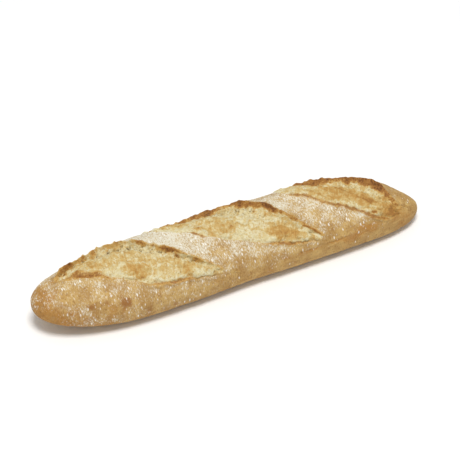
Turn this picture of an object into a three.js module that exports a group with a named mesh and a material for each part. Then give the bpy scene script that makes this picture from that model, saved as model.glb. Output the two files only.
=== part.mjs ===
import * as THREE from "three";
import { mergeVertices } from "three/addons/utils/BufferGeometryUtils.js";

// A demi-baguette: one loaf lying along X on its flat underside, opened by three
// diagonal cuts across its crown. Millimetres, +Z up, the near flank towards -Y.
// A place on the crust is named by x and by w, its girth distance from the crown:
// w grows down the near flank and reaches HALF_GIRTH under the loaf.

// ---- the plain loaf ----
const LENGTH = 290;
const WIDTH = 62.3;
const CROWN = 38; // height of the plain crust, without the ears
const HALF_GIRTH = 84; // crown to underside, round the crust
const BELT = 0.4; // height of the widest line, as a share of the crown
const SINK = 1.5; // how far the round underside is pressed flat on the baking stone
const SECTION = { side: 0.9, top: 0.95, under: 0.6 }; // 1 is an ellipse, less is squarer
const LEFT = { power: 3.37, root: 2.19, lift: 9 }; // power and root make a blunt round end
const RIGHT = { power: 4.07, root: 1.82, lift: 0 };
const TIP_HEIGHT = 0.22; // height of both tips, as a share of the crown
const TIP_DOME = 0.78; // how fast the crown falls towards the tips
const LIFT_START = 0.4; // share of the half length where a lifted end leaves the stone
const TAPER = -0.039; // the right half is a little slimmer
const SWEEP = -5.5; // both ends lean towards the near side
const TWIST = -8.3; // and the right end more than the left
// Slow bulges and hollows of both flanks: middle and reach along X, and how far they stand out
const NEAR_BULGES = [
  { at: -95, reach: 40, rise: 0.7 },
  { at: 65, reach: 50, rise: 0.9 },
];
const FAR_BULGES = [
  { at: -110, reach: 30, rise: -0.5 },
  { at: 5, reach: 32, rise: -0.8 },
  { at: 100, reach: 20, rise: 0.5 },
  { at: 136, reach: 12, rise: -1 },
];
const NEAR_BAND = { starts: 12, full: 34, falls: 60, ends: 82 }; // in w
const FAR_BAND = { starts: 12, full: -16, falls: -50, ends: -74 };

// ---- the cuts ----
// Both tips are [x, degrees round from the crown]. Each edge stands off the line between
// the tips by opening * (c0 + c1 u + c2 u^2 + c3 u^3), with u from -1 to 1 along that line.
const CUTS = [
  { from: [-131, -5.5], to: [-14.5, 81], lip: [3.5, 9.5, -12, -6.5], ear: [25, -15, -5, 9.5] },
  { from: [-54, -54.5], to: [63.5, 77], lip: [10.5, -1.5, -2.5, -4], ear: [26, -19, -10, 5] },
  { from: [48.5, -52], to: [126.5, 59.5], lip: [12.5, -2, 13.5, 4.5], ear: [17, 9.5, 2, -34] },
];
const OPENING_POWER = 0.7; // how bluntly both edges run into the tips
const EAR = { rise: 3.3, wall: 2.6, lean: 1.5, back: 5, backPower: 1.3, fade: 0.7, fadeFrom: 0.3 };
const LIP = { rise: 0.8, behind: 1.5, width: 1.3, step: 0.6 };
const CRUMB = { swell: 3.1, power: 0.7, atLip: -1.3, atFoot: -2.3 };
const CLOSED = 7; // a cut narrower than this fades into the crust

// ---- unevenness: size of the lumps, and how far they stand out ----
const SWELL = { size: 30, rise: 0.4 };
const LUMPS = { size: 12, rise: 0.8 };
const CRAGS = { size: 5, rise: 0.45 };
const RAGGED = { size: 5.5, lip: 0.9, ear: 0.55, crest: 0.3 };

// ---- mesh: rings round the loaf, and rows of points that follow the ears along it ----
const RINGS = 93;
const ROWS = 60;
const SLANT = { reach: 20, middle: 7, starts: 10, full: 75 }; // rings lean to cross the cuts squarely
const CROWD = { at: 120.5, reach: 6, extra: 1.3 }; // rings crowd where an ear runs round the loaf
const UNDER = { density: 0.3, from: 66, to: 50 }; // rows are sparse under the loaf
const LIP_ROWS = { extra: 1.3, reach: 2.6 }; // and crowd along the edges of the cuts
const EAR_ROWS = { extra: 2.6, reach: 3.2, open: 16 };
const EAR_CHANGES = [-12, 75]; // where along X the rows turn from one ear to the next
const TURN_RINGS = 5; // rings over which each turn is spread
const HELD_SHARE = 0.5;
const FINE = 1200; // steps in which a ring is measured before its points are placed
const FINE_LENGTH = 4000;

const CRUST_COLOUR = 0xc89c62;
const CRUST_ROUGHNESS = 0.8;

const clamp = (value, low, high) => Math.min(high, Math.max(low, value));
const rounded = (value, power) => Math.sign(value) * Math.abs(value) ** power;
const bump = (distance, reach) => Math.exp(-((distance / reach) ** 2));

/** 0 up to the first edge, 1 from the second, smooth between. */
function ease(edge0, edge1, value) {
  const s = clamp((value - edge0) / (edge1 - edge0), 0, 1);
  return s * s * (3 - 2 * s);
}

/** How far a flank's bulges stand out at x. */
function bulging(bulges, x) {
  return bulges.reduce((sum, { at, reach, rise }) => sum + rise * bump(x - at, reach), 0);
}

/** A fixed scatter of numbers from -1 to 1 over the whole-numbered points. */
function scatter(i, j, k) {
  const s = Math.sin(i * 127.1 + j * 311.7 + k * 74.7) * 43758.5453;
  return 2 * (s - Math.floor(s)) - 1;
}

/** Smooth lumps of about the given size, from -1 to 1. */
function lumps(point, size) {
  const cell = point.map((value) => Math.floor(value / size));
  const [fx, fy, fz] = point.map((value, axis) => ease(0, 1, value / size - cell[axis]));
  let sum = 0;
  for (let corner = 0; corner < 8; corner++) {
    const [i, j, k] = [corner & 1, (corner >> 1) & 1, corner >> 2];
    const weight = (i ? fx : 1 - fx) * (j ? fy : 1 - fy) * (k ? fz : 1 - fz);
    sum += weight * scatter(cell[0] + i, cell[1] + j, cell[2] + k);
  }
  return sum;
}

/** The plain crust at x and w, as [x, y, z]. */
function crust(x, w) {
  const t = clamp(x / (LENGTH / 2), -1, 1);
  const end = t < 0 ? LEFT : RIGHT;
  const fullness = (1 - Math.abs(t) ** end.power) ** (1 / end.root);
  const girth = 1 + TAPER * t;
  const half = (WIDTH / 2) * fullness * girth;
  const tip = TIP_HEIGHT * CROWN * (1 - fullness) ** 2;
  const top = tip + (CROWN * girth - tip) * fullness ** TIP_DOME;
  const belt = tip + BELT * (top - tip);
  const bottom = tip - SINK * Math.sqrt(fullness);
  const angle = (w / HALF_GIRTH) * Math.PI;
  const up = Math.cos(angle);
  const y = SWEEP * t ** 2 + TWIST * t ** 3 - half * rounded(Math.sin(angle), SECTION.side);
  const above = (top - belt) * Math.max(up, 0) ** SECTION.top;
  const below = (belt - bottom) * Math.max(-up, 0) ** SECTION.under;
  const lift = end.lift * clamp((Math.abs(t) - LIFT_START) / (1 - LIFT_START), 0, 1) ** 2;
  return [t * (LENGTH / 2), y, belt + above - below + lift];
}

/** Unit normal of the plain crust. */
function outward(x, w) {
  const step = 0.5;
  const inner = clamp(x, -LENGTH / 2 + 2 * step, LENGTH / 2 - 2 * step);
  const place = (dx, dw) => new THREE.Vector3(...crust(inner + dx, w + dw));
  const lengthwise = place(step, 0).sub(place(-step, 0));
  const around = place(0, step).sub(place(0, -step));
  return around.cross(lengthwise).normalize();
}

/** Where a place lies in a cut: u along it, v across it (far side positive), and both edges. */
function across(cut, x, w) {
  const perDegree = HALF_GIRTH / 180;
  const run = [cut.to[0] - cut.from[0], (cut.to[1] - cut.from[1]) * perDegree];
  const reach = Math.hypot(...run);
  const [dx, dw] = [x - cut.from[0], w - cut.from[1] * perDegree];
  const u = (2 * (dx * run[0] + dw * run[1])) / reach ** 2 - 1;
  const v = (dx * run[1] - dw * run[0]) / reach;
  const opening = Math.max(0, 1 - u * u) ** OPENING_POWER;
  const offset = (edge) => opening * edge.reduce((sum, c, n) => sum + c * u ** n, 0);
  return { u, v, lip: -offset(cut.lip), ear: offset(cut.ear), far: [run[1] / reach, -run[0] / reach] };
}

/** How far one cut raises a place, and leans it over the opening. */
function cutRelief(cut, x, w, base) {
  const { u, v, lip: plainLip, ear: plainEar, far } = across(cut, x, w);
  const grip = ease(0, CLOSED, plainEar - plainLip);
  if (grip === 0) return { rise: 0, lean: 0, far };
  const lip = plainLip + RAGGED.lip * lumps([x, w, 7], RAGGED.size);
  const ear = plainEar + EAR.lean + RAGGED.ear * lumps([x, w, 29], RAGGED.size);
  const foot = ear - EAR.wall;
  const s = clamp((v - lip) / Math.max(foot - lip, 1), 0, 1);
  const crumb =
    CRUMB.swell * (4 * s * (1 - s)) ** CRUMB.power +
    CRUMB.atLip * (1 - s) +
    CRUMB.atFoot * s +
    LUMPS.rise * lumps(base, LUMPS.size) +
    CRAGS.rise * lumps(base, CRAGS.size);
  const inside = ease(-LIP.step, LIP.step, v - lip);
  const wall = ease(foot, ear, v);
  const back = Math.exp(-((Math.max(v - ear, 0) / EAR.back) ** EAR.backPower));
  const fade = 1 - EAR.fade * ease(EAR.fadeFrom, 1, u);
  const crest = EAR.rise * fade * (1 + RAGGED.crest * lumps([x, w, 51], RAGGED.size));
  const edge = LIP.rise * bump(v - lip + LIP.behind, LIP.width);
  const rise = inside * (1 - wall) * crumb + wall * crest * back + edge;
  return { rise: grip * rise, lean: grip * fade * EAR.lean * wall * back, far };
}

/** Weight from 0 to 1 of a flank's band at girth w. */
function inBand(band, w) {
  return ease(band.starts, band.full, w) * ease(band.ends, band.falls, w);
}

/** The finished surface at x and w, as its place and how far it stands off the plain crust. */
function surface(x, w) {
  const base = crust(x, w);
  let rise = SWELL.rise * lumps(base, SWELL.size);
  rise += bulging(NEAR_BULGES, x) * inBand(NEAR_BAND, w) + bulging(FAR_BULGES, x) * inBand(FAR_BAND, w);
  let [leanedX, leanedW] = [x, w];
  for (const cut of CUTS) {
    const relief = cutRelief(cut, x, w, base);
    rise += relief.rise;
    leanedX -= relief.lean * relief.far[0];
    leanedW -= relief.lean * relief.far[1];
  }
  const place = new THREE.Vector3(...crust(leanedX, leanedW));
  place.addScaledVector(outward(leanedX, leanedW), rise);
  place.z = Math.max(place.z, 0);
  return { place, rise };
}

/** Ring positions along X, tip to tip, spaced evenly along the outline so the ends stay round. */
function stations() {
  const at = (i) => crust(-LENGTH / 2 + (LENGTH * i) / FINE_LENGTH, HALF_GIRTH / 2);
  const lengths = [0];
  for (let i = 1; i <= FINE_LENGTH; i++) {
    const [last, next] = [at(i - 1), at(i)];
    const crowd = 1 + CROWD.extra * bump(next[0] - CROWD.at, CROWD.reach);
    lengths.push(lengths[i - 1] + crowd * Math.hypot(next[0] - last[0], next[1] - last[1]));
  }
  const places = [-LENGTH / 2];
  for (let r = 1, i = 0; r < RINGS; r++) {
    while (lengths[i] < (lengths[FINE_LENGTH] * r) / RINGS) i++;
    places.push(at(i)[0]);
  }
  return [...places, LENGTH / 2];
}

/** X of the ring at a station, at girth w: rings lean, except close to the tips. */
function leanedX(station, w) {
  const lean = SLANT.reach * ease(SLANT.starts, SLANT.full, LENGTH / 2 - Math.abs(station));
  return station - lean * Math.sin((Math.PI * (w - SLANT.middle)) / HALF_GIRTH);
}

/** Girth w at fine step i of a ring. */
const girthAt = (i) => -HALF_GIRTH + (2 * HALF_GIRTH * i) / FINE;

/** Share of a ring's points that lie below each fine step. */
function ringShares(station) {
  const sums = [0];
  for (let i = 0; i < FINE; i++) {
    const w = girthAt(i + 0.5);
    const top = ease(UNDER.from, UNDER.to, Math.abs(w));
    let density = UNDER.density + (1 - UNDER.density) * top;
    for (const cut of CUTS) {
      const { v, lip, ear } = across(cut, leanedX(station, w), w);
      const edges =
        LIP_ROWS.extra * bump(v - lip, LIP_ROWS.reach) + EAR_ROWS.extra * bump(v - ear, EAR_ROWS.reach);
      density += ease(0, EAR_ROWS.open, ear - lip) * edges;
    }
    sums.push(sums[i] + density);
  }
  return sums.map((sum) => sum / sums[FINE]);
}

/** Share of the ring's points that lie below the ear of one cut. */
function earShare(cut, station, shares) {
  const beyond = shares.findIndex((_, i) => {
    const { v, ear } = across(cut, leanedX(station, girthAt(i)), girthAt(i));
    return v < ear;
  });
  return beyond < 0 ? 1 : shares[beyond];
}

/** Where each ring starts counting, so that one row of points keeps close to each ear in turn. */
function ringStarts(rings, shares) {
  let held = HELD_SHARE;
  let current = 0;
  const starts = rings.map((station, r) => {
    const share = CUTS.map((cut) => earShare(cut, station, shares[r]));
    if (station > EAR_CHANGES[current]) {
      held += share[current + 1] - share[current];
      current++;
    }
    return share[current] - held;
  });
  return starts.map((_, r) => {
    const near = starts.slice(Math.max(0, r - TURN_RINGS), r + TURN_RINGS + 1);
    return near.reduce((sum, start) => sum + start, 0) / near.length;
  });
}

/** Girth positions of one ring's points, from its shares and its start. */
function ringPoints(shares, start) {
  const places = [];
  for (let n = 0; n < ROWS; n++) {
    const wanted = n / ROWS + start - Math.floor(n / ROWS + start);
    const i = shares.findIndex((share) => share > wanted) - 1;
    places.push(girthAt(i + (wanted - shares[i]) / (shares[i + 1] - shares[i])));
  }
  return places;
}

/** Turns the shared edge of each pair of triangles along the relief, so ridges stay whole. */
function followRelief(faces, rise) {
  const cap = 3 * ROWS; // at both tips the sphere has one triangle a row, elsewhere two
  for (let i = cap; i < faces.length - cap; i += 6) {
    const [a, b, d, , c] = faces.subarray(i, i + 5);
    if (Math.abs(rise[a] - rise[c]) < Math.abs(rise[b] - rise[d])) faces.set([a, b, c, a, c, d], i);
  }
}

/** The loaf: a sphere whose poles become the tips and whose rings are drawn out along X. */
function loafGeometry() {
  const rings = stations();
  const shares = rings.map(ringShares);
  const starts = ringStarts(rings, shares);
  const girths = rings.map((_, r) => ringPoints(shares[r], starts[r]));
  const geometry = new THREE.SphereGeometry(1, ROWS, RINGS);
  const { position } = geometry.attributes;
  const rises = [];
  for (let i = 0; i < position.count; i++) {
    const r = RINGS - Math.floor(i / (ROWS + 1));
    const isTip = r === 0 || r === RINGS;
    const w = isTip ? 0 : girths[r][i % (ROWS + 1) % ROWS];
    const { place, rise } = surface(leanedX(rings[r], w), w);
    position.setXYZ(i, place.x, place.y, place.z);
    rises.push(rise);
  }
  followRelief(geometry.index.array, rises);
  geometry.deleteAttribute("uv");
  geometry.deleteAttribute("normal");
  return mergeVertices(geometry, 1e-4);
}

/** Moves a geometry so that the middle of its underside is the origin. */
function stand(geometry) {
  geometry.computeBoundingBox();
  const { min, max } = geometry.boundingBox;
  geometry.translate(-(min.x + max.x) / 2, -(min.y + max.y) / 2, -min.z);
  geometry.computeVertexNormals();
  return geometry;
}

const baguette = new THREE.Mesh(
  stand(loafGeometry()),
  new THREE.MeshStandardMaterial({ color: CRUST_COLOUR, roughness: CRUST_ROUGHNESS, metalness: 0 }),
);
baguette.name = "baguette";

const part = new THREE.Group();
part.name = "baguette_loaf";
part.add(baguette);

export default part;
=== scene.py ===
import logging
import math
from dataclasses import dataclass, field
from enum import Enum
from typing import ClassVar

import bmesh
import bpy
import numpy as np
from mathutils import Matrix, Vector


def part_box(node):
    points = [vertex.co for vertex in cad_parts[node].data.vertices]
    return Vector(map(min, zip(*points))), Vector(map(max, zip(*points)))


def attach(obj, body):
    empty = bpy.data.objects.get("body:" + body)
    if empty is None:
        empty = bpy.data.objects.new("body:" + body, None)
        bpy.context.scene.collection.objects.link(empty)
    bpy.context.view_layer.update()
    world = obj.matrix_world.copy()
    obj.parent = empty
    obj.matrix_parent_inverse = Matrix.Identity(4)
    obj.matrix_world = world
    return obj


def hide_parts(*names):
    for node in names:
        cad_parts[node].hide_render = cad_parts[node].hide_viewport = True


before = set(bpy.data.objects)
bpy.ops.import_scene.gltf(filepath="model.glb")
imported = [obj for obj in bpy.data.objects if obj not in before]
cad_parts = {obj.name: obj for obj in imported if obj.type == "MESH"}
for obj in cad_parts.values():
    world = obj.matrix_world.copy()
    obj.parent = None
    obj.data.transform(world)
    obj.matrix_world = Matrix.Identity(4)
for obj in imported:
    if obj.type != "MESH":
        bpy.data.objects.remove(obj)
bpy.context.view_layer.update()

# A demi-baguette lying along X on its flat underside, opened by three diagonal cuts.
# The dough is shaped in millimetres and set down in metres. A place on the crust is named
# by x and by w, its girth distance from the crown: w grows down the near flank.

Array = np.ndarray
Socket = bpy.types.NodeSocket
Pair = tuple[float, float]
Triple = tuple[float, float, float]
Colour = Triple

# Distances in millimetres: beyond any cut, added past a cut's ends, and between the cuts' patterns.
FAR_AWAY = 1e9
PAST_END = 200.0
PULL_APART = 60.0
MM_IN_METRE = 1000.0

log = logging.getLogger("baguette")


class Mask(Enum):
    """Where on the loaf each finish lies, kept with the mesh."""

    CRUMB = "crumb"
    # toast on the ears, and dark in hollows that is partly toast and partly painted shade
    TOAST_AND_SHADE = "toast"
    LIP = "lip"
    # painted shade in the pores, the gully under the ear and the folds
    PORE_SHADE = "pore_shade"
    SHARE = "share"
    BROWN = "brown"
    FLOUR = "flour"
    GRAIN = "grain"
    BLISTER = "blister"
    UNDER = "under"
    BAKE = "bake"
    CURD = "curd"


# ---- shaping helpers ----


def ease(start: float, full: float, value: Array) -> Array:
    """Rise smoothly from 0 to 1.

    Args:
        start: Value up to which the result is 0.
        full: Value from which the result is 1.
        value: Where to look.

    Returns:
        The eased share at each value.
    """
    share = np.clip((value - start) / (full - start), 0.0, 1.0)
    return share * share * (3.0 - 2.0 * share)


def bump(distance: Array, reach: float) -> Array:
    """A soft hill that is 1 at no distance and falls away over its reach."""
    return np.exp(-((distance / reach) ** 2))


def kept(least: float, share: Array) -> Array:
    """Go from a least share up to all of something."""
    return least + (1.0 - least) * share


def spot(x: Array, w: Array, at: Pair, reach: Pair) -> Array:
    """A soft spot of the crust that is 1 in its middle.

    Args:
        x: Place along the loaf.
        w: Girth distance from the crown.
        at: Its middle, along and around the loaf.
        reach: How far it reaches, along and around.

    Returns:
        Share of the spot at each place.
    """
    return bump(x - at[0], reach[0]) * bump(w - at[1], reach[1])


def scatter(i: Array, j: Array, k: Array) -> Array:
    """A fixed scatter of numbers from -1 to 1 over the whole-numbered points."""
    turned = np.sin(i * 127.1 + j * 311.7 + k * 74.7) * 43758.5453
    return 2.0 * (turned - np.floor(turned)) - 1.0


def lumps(place: tuple, size: float) -> Array:
    """Smooth lumps of about one size.

    Args:
        place: Three coordinates, each an array or a number.
        size: Distance from lump to lump.

    Returns:
        Heights from -1 to 1.
    """
    scaled = [np.asarray(axis, float) / size for axis in place]
    cell = [np.floor(axis) for axis in scaled]
    share = [ease(0.0, 1.0, axis - low) for axis, low in zip(scaled, cell)]
    total = 0.0
    for corner in range(8):
        steps = (corner & 1, corner >> 1 & 1, corner >> 2)
        weight = 1.0
        for part, step in zip(share, steps):
            weight = weight * (part if step else 1.0 - part)
        total = total + weight * scatter(*(low + step for low, step in zip(cell, steps)))
    return total


def grain(place: tuple, size: float) -> Array:
    """Fine lumps on a turned lattice, so that their rows don't follow the loaf.

    Args:
        place: Three coordinates, each an array or a number.
        size: Distance from lump to lump.

    Returns:
        Heights from about -1 to 1.
    """
    x, y, z = place
    turned = (0.8 * x - 0.6 * y + 3.1, 0.48 * x + 0.64 * y - 0.6 * z, 0.36 * x + 0.48 * y + 0.8 * z)
    return lumps(turned, size)


@dataclass(frozen=True)
class Slope:
    """An eased step from 0 to 1 between two values."""

    start: float
    full: float

    def at(self, value: Array) -> Array:
        """Share of the step reached at each value."""
        return ease(self.start, self.full, value)


@dataclass(frozen=True)
class Rough:
    """One kind of unevenness: its size and strength, and where it is cut from the lumps."""

    size: float
    strength: float = 1.0
    level: float = 0.0
    row: float = 0.0

    def over(self, a: Array, b: Array) -> Array:
        """Its heights over two coordinates."""
        return self.strength * lumps((a, b, self.level), self.size)

    def along(self, a: Array) -> Array:
        """Its heights along one coordinate."""
        return self.over(a, self.row)

    def soft(self, place: tuple) -> Array:
        """Its heights over three coordinates."""
        return self.strength * lumps(place, self.size)

    def fine(self, place: tuple) -> Array:
        """Its heights over three coordinates, as fine lumps on a turned lattice."""
        return self.strength * grain(place, self.size)


@dataclass(frozen=True)
class Drawn:
    """Unevenness that is drawn out along or across a cut."""

    along: float
    across: float
    level: float
    rise: float = 0.0

    def over(self, a: Array, b: Array) -> Array:
        """Its heights from -1 to 1 at places along and across a cut."""
        return lumps((a / self.along, b / self.across, self.level), 1.0)


@dataclass(frozen=True)
class Touch:
    """A soft hill or hollow at one place of a scale, such as the length of a cut."""

    at: float
    reach: float
    amount: float

    def along(self, values: Array) -> Array:
        """Its strength at each value."""
        return self.amount * bump(values - self.at, self.reach)


Touches = tuple[Touch, ...]


def touched(touches: Touches, values: Array) -> Array:
    """Add up touches at each value."""
    return sum((touch.along(values) for touch in touches), np.zeros_like(values))


# ---- the loaf's own sizes ----


@dataclass(frozen=True)
class Tip:
    """How one end of the loaf closes."""

    power: float
    root: float
    lift: float


@dataclass(frozen=True)
class Band:
    """The part of the girth that a flank's bulges move."""

    starts: float
    full: float
    falls: float
    ends: float

    def weight(self, w: Array) -> Array:
        """Share of the bulges that reaches girth w."""
        return ease(self.starts, self.full, w) * ease(self.ends, self.falls, w)


@dataclass(frozen=True)
class PlainLoaf:
    """The loaf before its cuts open: a long round body, pressed flat where it was baked."""

    length: float = 290.0
    width: float = 62.3
    crown: float = 38.0
    half_girth: float = 84.0
    belt: float = 0.4
    sink: float = 1.5
    side: float = 0.9
    top: float = 0.95
    under: float = 0.6
    left: Tip = Tip(3.37, 2.19, 9.0)
    right: Tip = Tip(4.07, 1.82, 0.0)
    tip_height: float = 0.22
    tip_dome: float = 0.78
    lift_start: float = 0.4
    taper: float = -0.039
    sweep: float = -5.5
    twist: float = -8.3
    normal_step: float = 0.5

    def crust(self, x: Array, w: Array) -> Array:
        """The plain crust.

        Args:
            x: Place along the loaf.
            w: Girth distance from the crown.

        Returns:
            Points with their three coordinates on the last axis.
        """
        t = np.clip(x / (self.length / 2), -1.0, 1.0)
        is_left = t < 0
        power = np.where(is_left, self.left.power, self.right.power)
        root = np.where(is_left, self.left.root, self.right.root)
        rest = np.maximum(1.0 - np.abs(t) ** power, 0.0)
        fullness = rest ** (1.0 / root)
        girth = 1.0 + self.taper * t
        half = self.width / 2 * fullness * girth
        tip = self.tip_height * self.crown * (1.0 - fullness) ** 2
        top = tip + (self.crown * girth - tip) * fullness**self.tip_dome
        belt = tip + self.belt * (top - tip)
        bottom = tip - self.sink * np.sqrt(fullness)
        angle = w / self.half_girth * math.pi
        up, out = np.cos(angle), np.sin(angle)
        side = np.sign(out) * np.abs(out) ** self.side
        y = self.sweep * t**2 + self.twist * t**3 - half * side
        above = (top - belt) * np.maximum(up, 0.0) ** self.top
        below = (belt - bottom) * np.maximum(-up, 0.0) ** self.under
        raised = np.clip((np.abs(t) - self.lift_start) / (1.0 - self.lift_start), 0.0, 1.0) ** 2
        lift = np.where(is_left, self.left.lift, self.right.lift) * raised
        return np.stack([t * self.length / 2 + 0.0 * w, y, belt + above - below + lift], axis=-1)

    def outward(self, x: Array, w: Array) -> Array:
        """Unit normals of the plain crust at x and w."""
        step = self.normal_step
        inner = np.clip(x, 2 * step - self.length / 2, self.length / 2 - 2 * step)
        lengthwise = self.crust(inner + step, w) - self.crust(inner - step, w)
        around = self.crust(inner, w + step) - self.crust(inner, w - step)
        normal = np.cross(around, lengthwise)
        return normal / np.linalg.norm(normal, axis=-1, keepdims=True)


@dataclass
class CutPlace:
    """Where points lie in a cut: along it from -1 to 1, across it, and both of its edges."""

    along: Array
    across: Array
    lip: Array
    ear: Array
    run: float
    far: Pair


@dataclass(frozen=True)
class Cut:
    """One slash of the blade, opened by the oven into a leaf between its lip and its ear."""

    start: Pair
    end: Pair
    lip: tuple[float, ...]
    ear: tuple[float, ...]
    wall_share: float
    lip_plain: float
    heat_plain: float
    lip_touches: Touches = ()
    ear_touches: Touches = ()
    heat_touches: Touches = ()
    swell_touches: Touches = ()
    undercuts: Touches = ()
    lip_bends: Touches = ()
    trough: float = 1.0
    toast_narrows: float = 0.18
    ear_start: float = 0.05
    blunt: float = 0.7

    def lip_strength(self, u: Array) -> Array:
        """How far the lip curls up and browns, from 0 to 1, at places along the cut."""
        return np.clip(self.lip_plain + touched(self.lip_touches, u), 0.0, 1.0)

    def place(self, x: Array, w: Array, half_girth: float) -> CutPlace:
        """Find points in this cut.

        Args:
            x: Place along the loaf.
            w: Girth distance from the crown.
            half_girth: Crown to underside, round the crust.

        Returns:
            Their place along and across the cut, with its edges there.
        """
        per_degree = half_girth / 180.0
        run_x = self.end[0] - self.start[0]
        run_w = (self.end[1] - self.start[1]) * per_degree
        reach = math.hypot(run_x, run_w)
        dx = x - self.start[0]
        dw = w - self.start[1] * per_degree
        along = 2.0 * (dx * run_x + dw * run_w) / reach**2 - 1.0
        across = (dx * run_w - dw * run_x) / reach
        opening = np.maximum(0.0, 1.0 - along * along) ** self.blunt
        lip = -opening * np.polynomial.polynomial.polyval(along, self.lip)
        lip = lip + touched(self.lip_bends, along)
        ear = opening * np.polynomial.polynomial.polyval(along, self.ear)
        return CutPlace(along, across, lip, ear, reach, (run_w / reach, -run_x / reach))


@dataclass(frozen=True)
class Ear:
    """The raised flap along the far side of a cut."""

    rise: float = 3.3
    wall: float = 2.6
    straight: float = 0.4
    lean: float = 1.5
    lean_power: float = 3.0
    upright: float = 0.45
    upright_from: Slope = Slope(0.0, 0.5)
    back: float = 5.0
    back_power: float = 1.3
    fade: float = 0.7
    fades: Slope = Slope(0.3, 1.0)
    start_low: float = 0.4
    ragged: Rough = Rough(5.5, 0.55, 29.0)
    shift: Rough = Rough(9.0, 2.4, 1.0, 8.0)
    crest: Rough = Rough(5.5, 0.3, 51.0)
    crest_drawn: float = 0.3
    fine_crest: Rough = Rough(2.1, 0.22, 77.0)
    skin: tuple[Rough, ...] = (Rough(1.8, 0.24), Rough(3.6, 0.5))


@dataclass(frozen=True)
class Lip:
    """The thin crust edge along the near side of a cut, and the dough that hangs over it."""

    rise: float = 1.0
    plain_rise: float = 0.4
    curled_rise: float = 1.1
    end_low: float = 0.2
    behind: float = 1.5
    width: float = 1.3
    step: float = 0.6
    step_out: float = 0.6
    step_in: float = 2.0
    softens: Slope = Slope(0.3, 0.8)
    firms: Slope = Slope(0.5, 0.9)
    firm: float = 0.7
    ragged: Rough = Rough(5.5, 0.9, 7.0)
    torn: Rough = Rough(2.1, 0.45, 93.0)
    flap: tuple[Rough, ...] = (Rough(1.5, 0.3), Rough(3.2, 0.45))
    hang_at: float = 1.3
    hang_reach: float = 1.5
    hollow_depth: float = 1.2
    brim_rise: float = 0.7
    brown_at: float = 0.4
    brown_reach: float = 0.9
    brown_widens: float = 1.5
    brown_shows: Slope = Slope(0.05, 0.4)


@dataclass(frozen=True)
class TornDough:
    """The torn dough that swells out of a cut, with its ledges, folds, sheets and strands."""

    swell: float = 3.1
    power: float = 0.7
    at_lip: float = -1.3
    at_foot: float = -2.3
    shallow: float = 0.6
    shallows: Slope = Slope(0.1, 0.7)
    closed: float = 7.0
    end_taper: float = 0.32
    end_swell: float = 0.3
    end_edges: float = 0.4
    calm_reach: float = 0.16
    calm_low: float = 0.3
    lumps: Rough = Rough(12.0, 0.8)
    crags: Rough = Rough(5.0, 0.45)
    fine_crags: tuple[Rough, ...] = (Rough(3.6, 0.42), Rough(2.2, 0.36), Rough(1.35, 0.24))
    ledges: Drawn = Drawn(10.0, 3.4, 9.0, 0.45)
    folds: Drawn = Drawn(9.0, 4.2, 13.0, -1.3)
    fold_wander: float = 0.4
    fold_width: float = 0.14
    folded: Rough = Rough(9.0, 1.0, 71.0)
    folded_where: Slope = Slope(-0.25, 0.3)
    sheets: Drawn = Drawn(6.5, 4.6, 57.0, 0.75)
    sheet_wander: float = 0.5
    sheet_edge: Slope = Slope(-0.08, 0.08)
    strands: Drawn = Drawn(1.5, 5.0, 5.0, 0.2)
    wall_strands: float = 0.45
    nears_wall: Slope = Slope(0.6, 0.95)
    shows: Slope = Slope(0.1, 0.6)
    over_crest: float = 0.9


@dataclass(frozen=True)
class Curds:
    """Soft curds of dough that spill over the lip."""

    size: float = 4.6
    row: float = 31.0
    drift: float = 0.15
    thickness: float = 0.35
    rise: float = 1.1
    at: float = 2.0
    reach: float = 2.6
    spill: float = 0.9
    held: float = 0.6
    browned: float = 0.7
    browned_where: Slope = Slope(0.5, 1.0)


@dataclass(frozen=True)
class Pores:
    """The holes and the gully where the dough tore away from the ear, and the painted shade that
    darkens them and the folds.
    """

    size: float = 1.5
    stretch: float = 1.2
    slice: float = 40.0
    opens: Slope = Slope(0.28, 0.5)
    depth: float = 1.2
    above_foot: float = 0.25
    reach: float = 1.6
    reach_share: float = 0.3
    fewer: float = 0.6
    fewer_from: Slope = Slope(0.0, 0.7)
    gully: float = 0.5
    gully_reach: float = 2.0
    gully_ends: Slope = Slope(0.8, 0.2)
    # painted shade: over the gully, paler towards the near end, darkest in the open pores, clear up
    # the wall, and along the folds
    shade: float = 0.4
    paler: float = 0.2
    paler_from: Slope = Slope(0.0, 0.5)
    dark: float = 0.6
    clear: Slope = Slope(0.6, 0.85)
    shade_in_folds: float = 0.2


@dataclass(frozen=True)
class Heat:
    """How the oven browned an ear and the dough below it, with dark in the lip's hollow that is
    partly painted shade.
    """

    uneven: Rough = Rough(6.0, 0.3, 8.0, 2.0)
    fine: Rough = Rough(2.6, 0.2, 3.0)
    fine_drawn: float = 0.4
    starts: float = 0.45
    wider: float = 0.3
    widens: Slope = Slope(-0.1, -0.6)
    narrows: Slope = Slope(0.1, 0.7)
    ragged: Rough = Rough(3.6, 0.2, 2.0, 6.0)
    fringe: Rough = Rough(1.7, 0.12, 9.0, 2.0)
    lowest: float = 0.05
    highest: float = 0.7
    deepens: float = 0.38
    over_crest: float = 1.6
    shows: Slope = Slope(0.05, 0.5)
    # dark in the lip's hollow below hanging dough: partly scorch, partly painted shade
    scorch_and_shade_strength: float = 0.85
    scorch_and_shade: Rough = Rough(1.7, 0.5, 37.0)
    crags: float = 0.5
    ledges: float = 0.35
    strands: float = 0.3
    fold_edge: Touch = Touch(0.32, 0.16, 0.8)
    sheet_edge: Touch = Touch(-0.14, 0.12, 0.55)
    sheet_top: Touch = Touch(0.12, 0.13, -0.6)
    under_toast: Touch = Touch(-0.04, 0.16, 0.8)
    closing: Slope = Slope(0.8, 1.0)
    closing_ragged: Rough = Rough(4.0, 0.06, 83.0)
    closing_brown: float = 0.45
    closing_crust: float = 0.5


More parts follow.
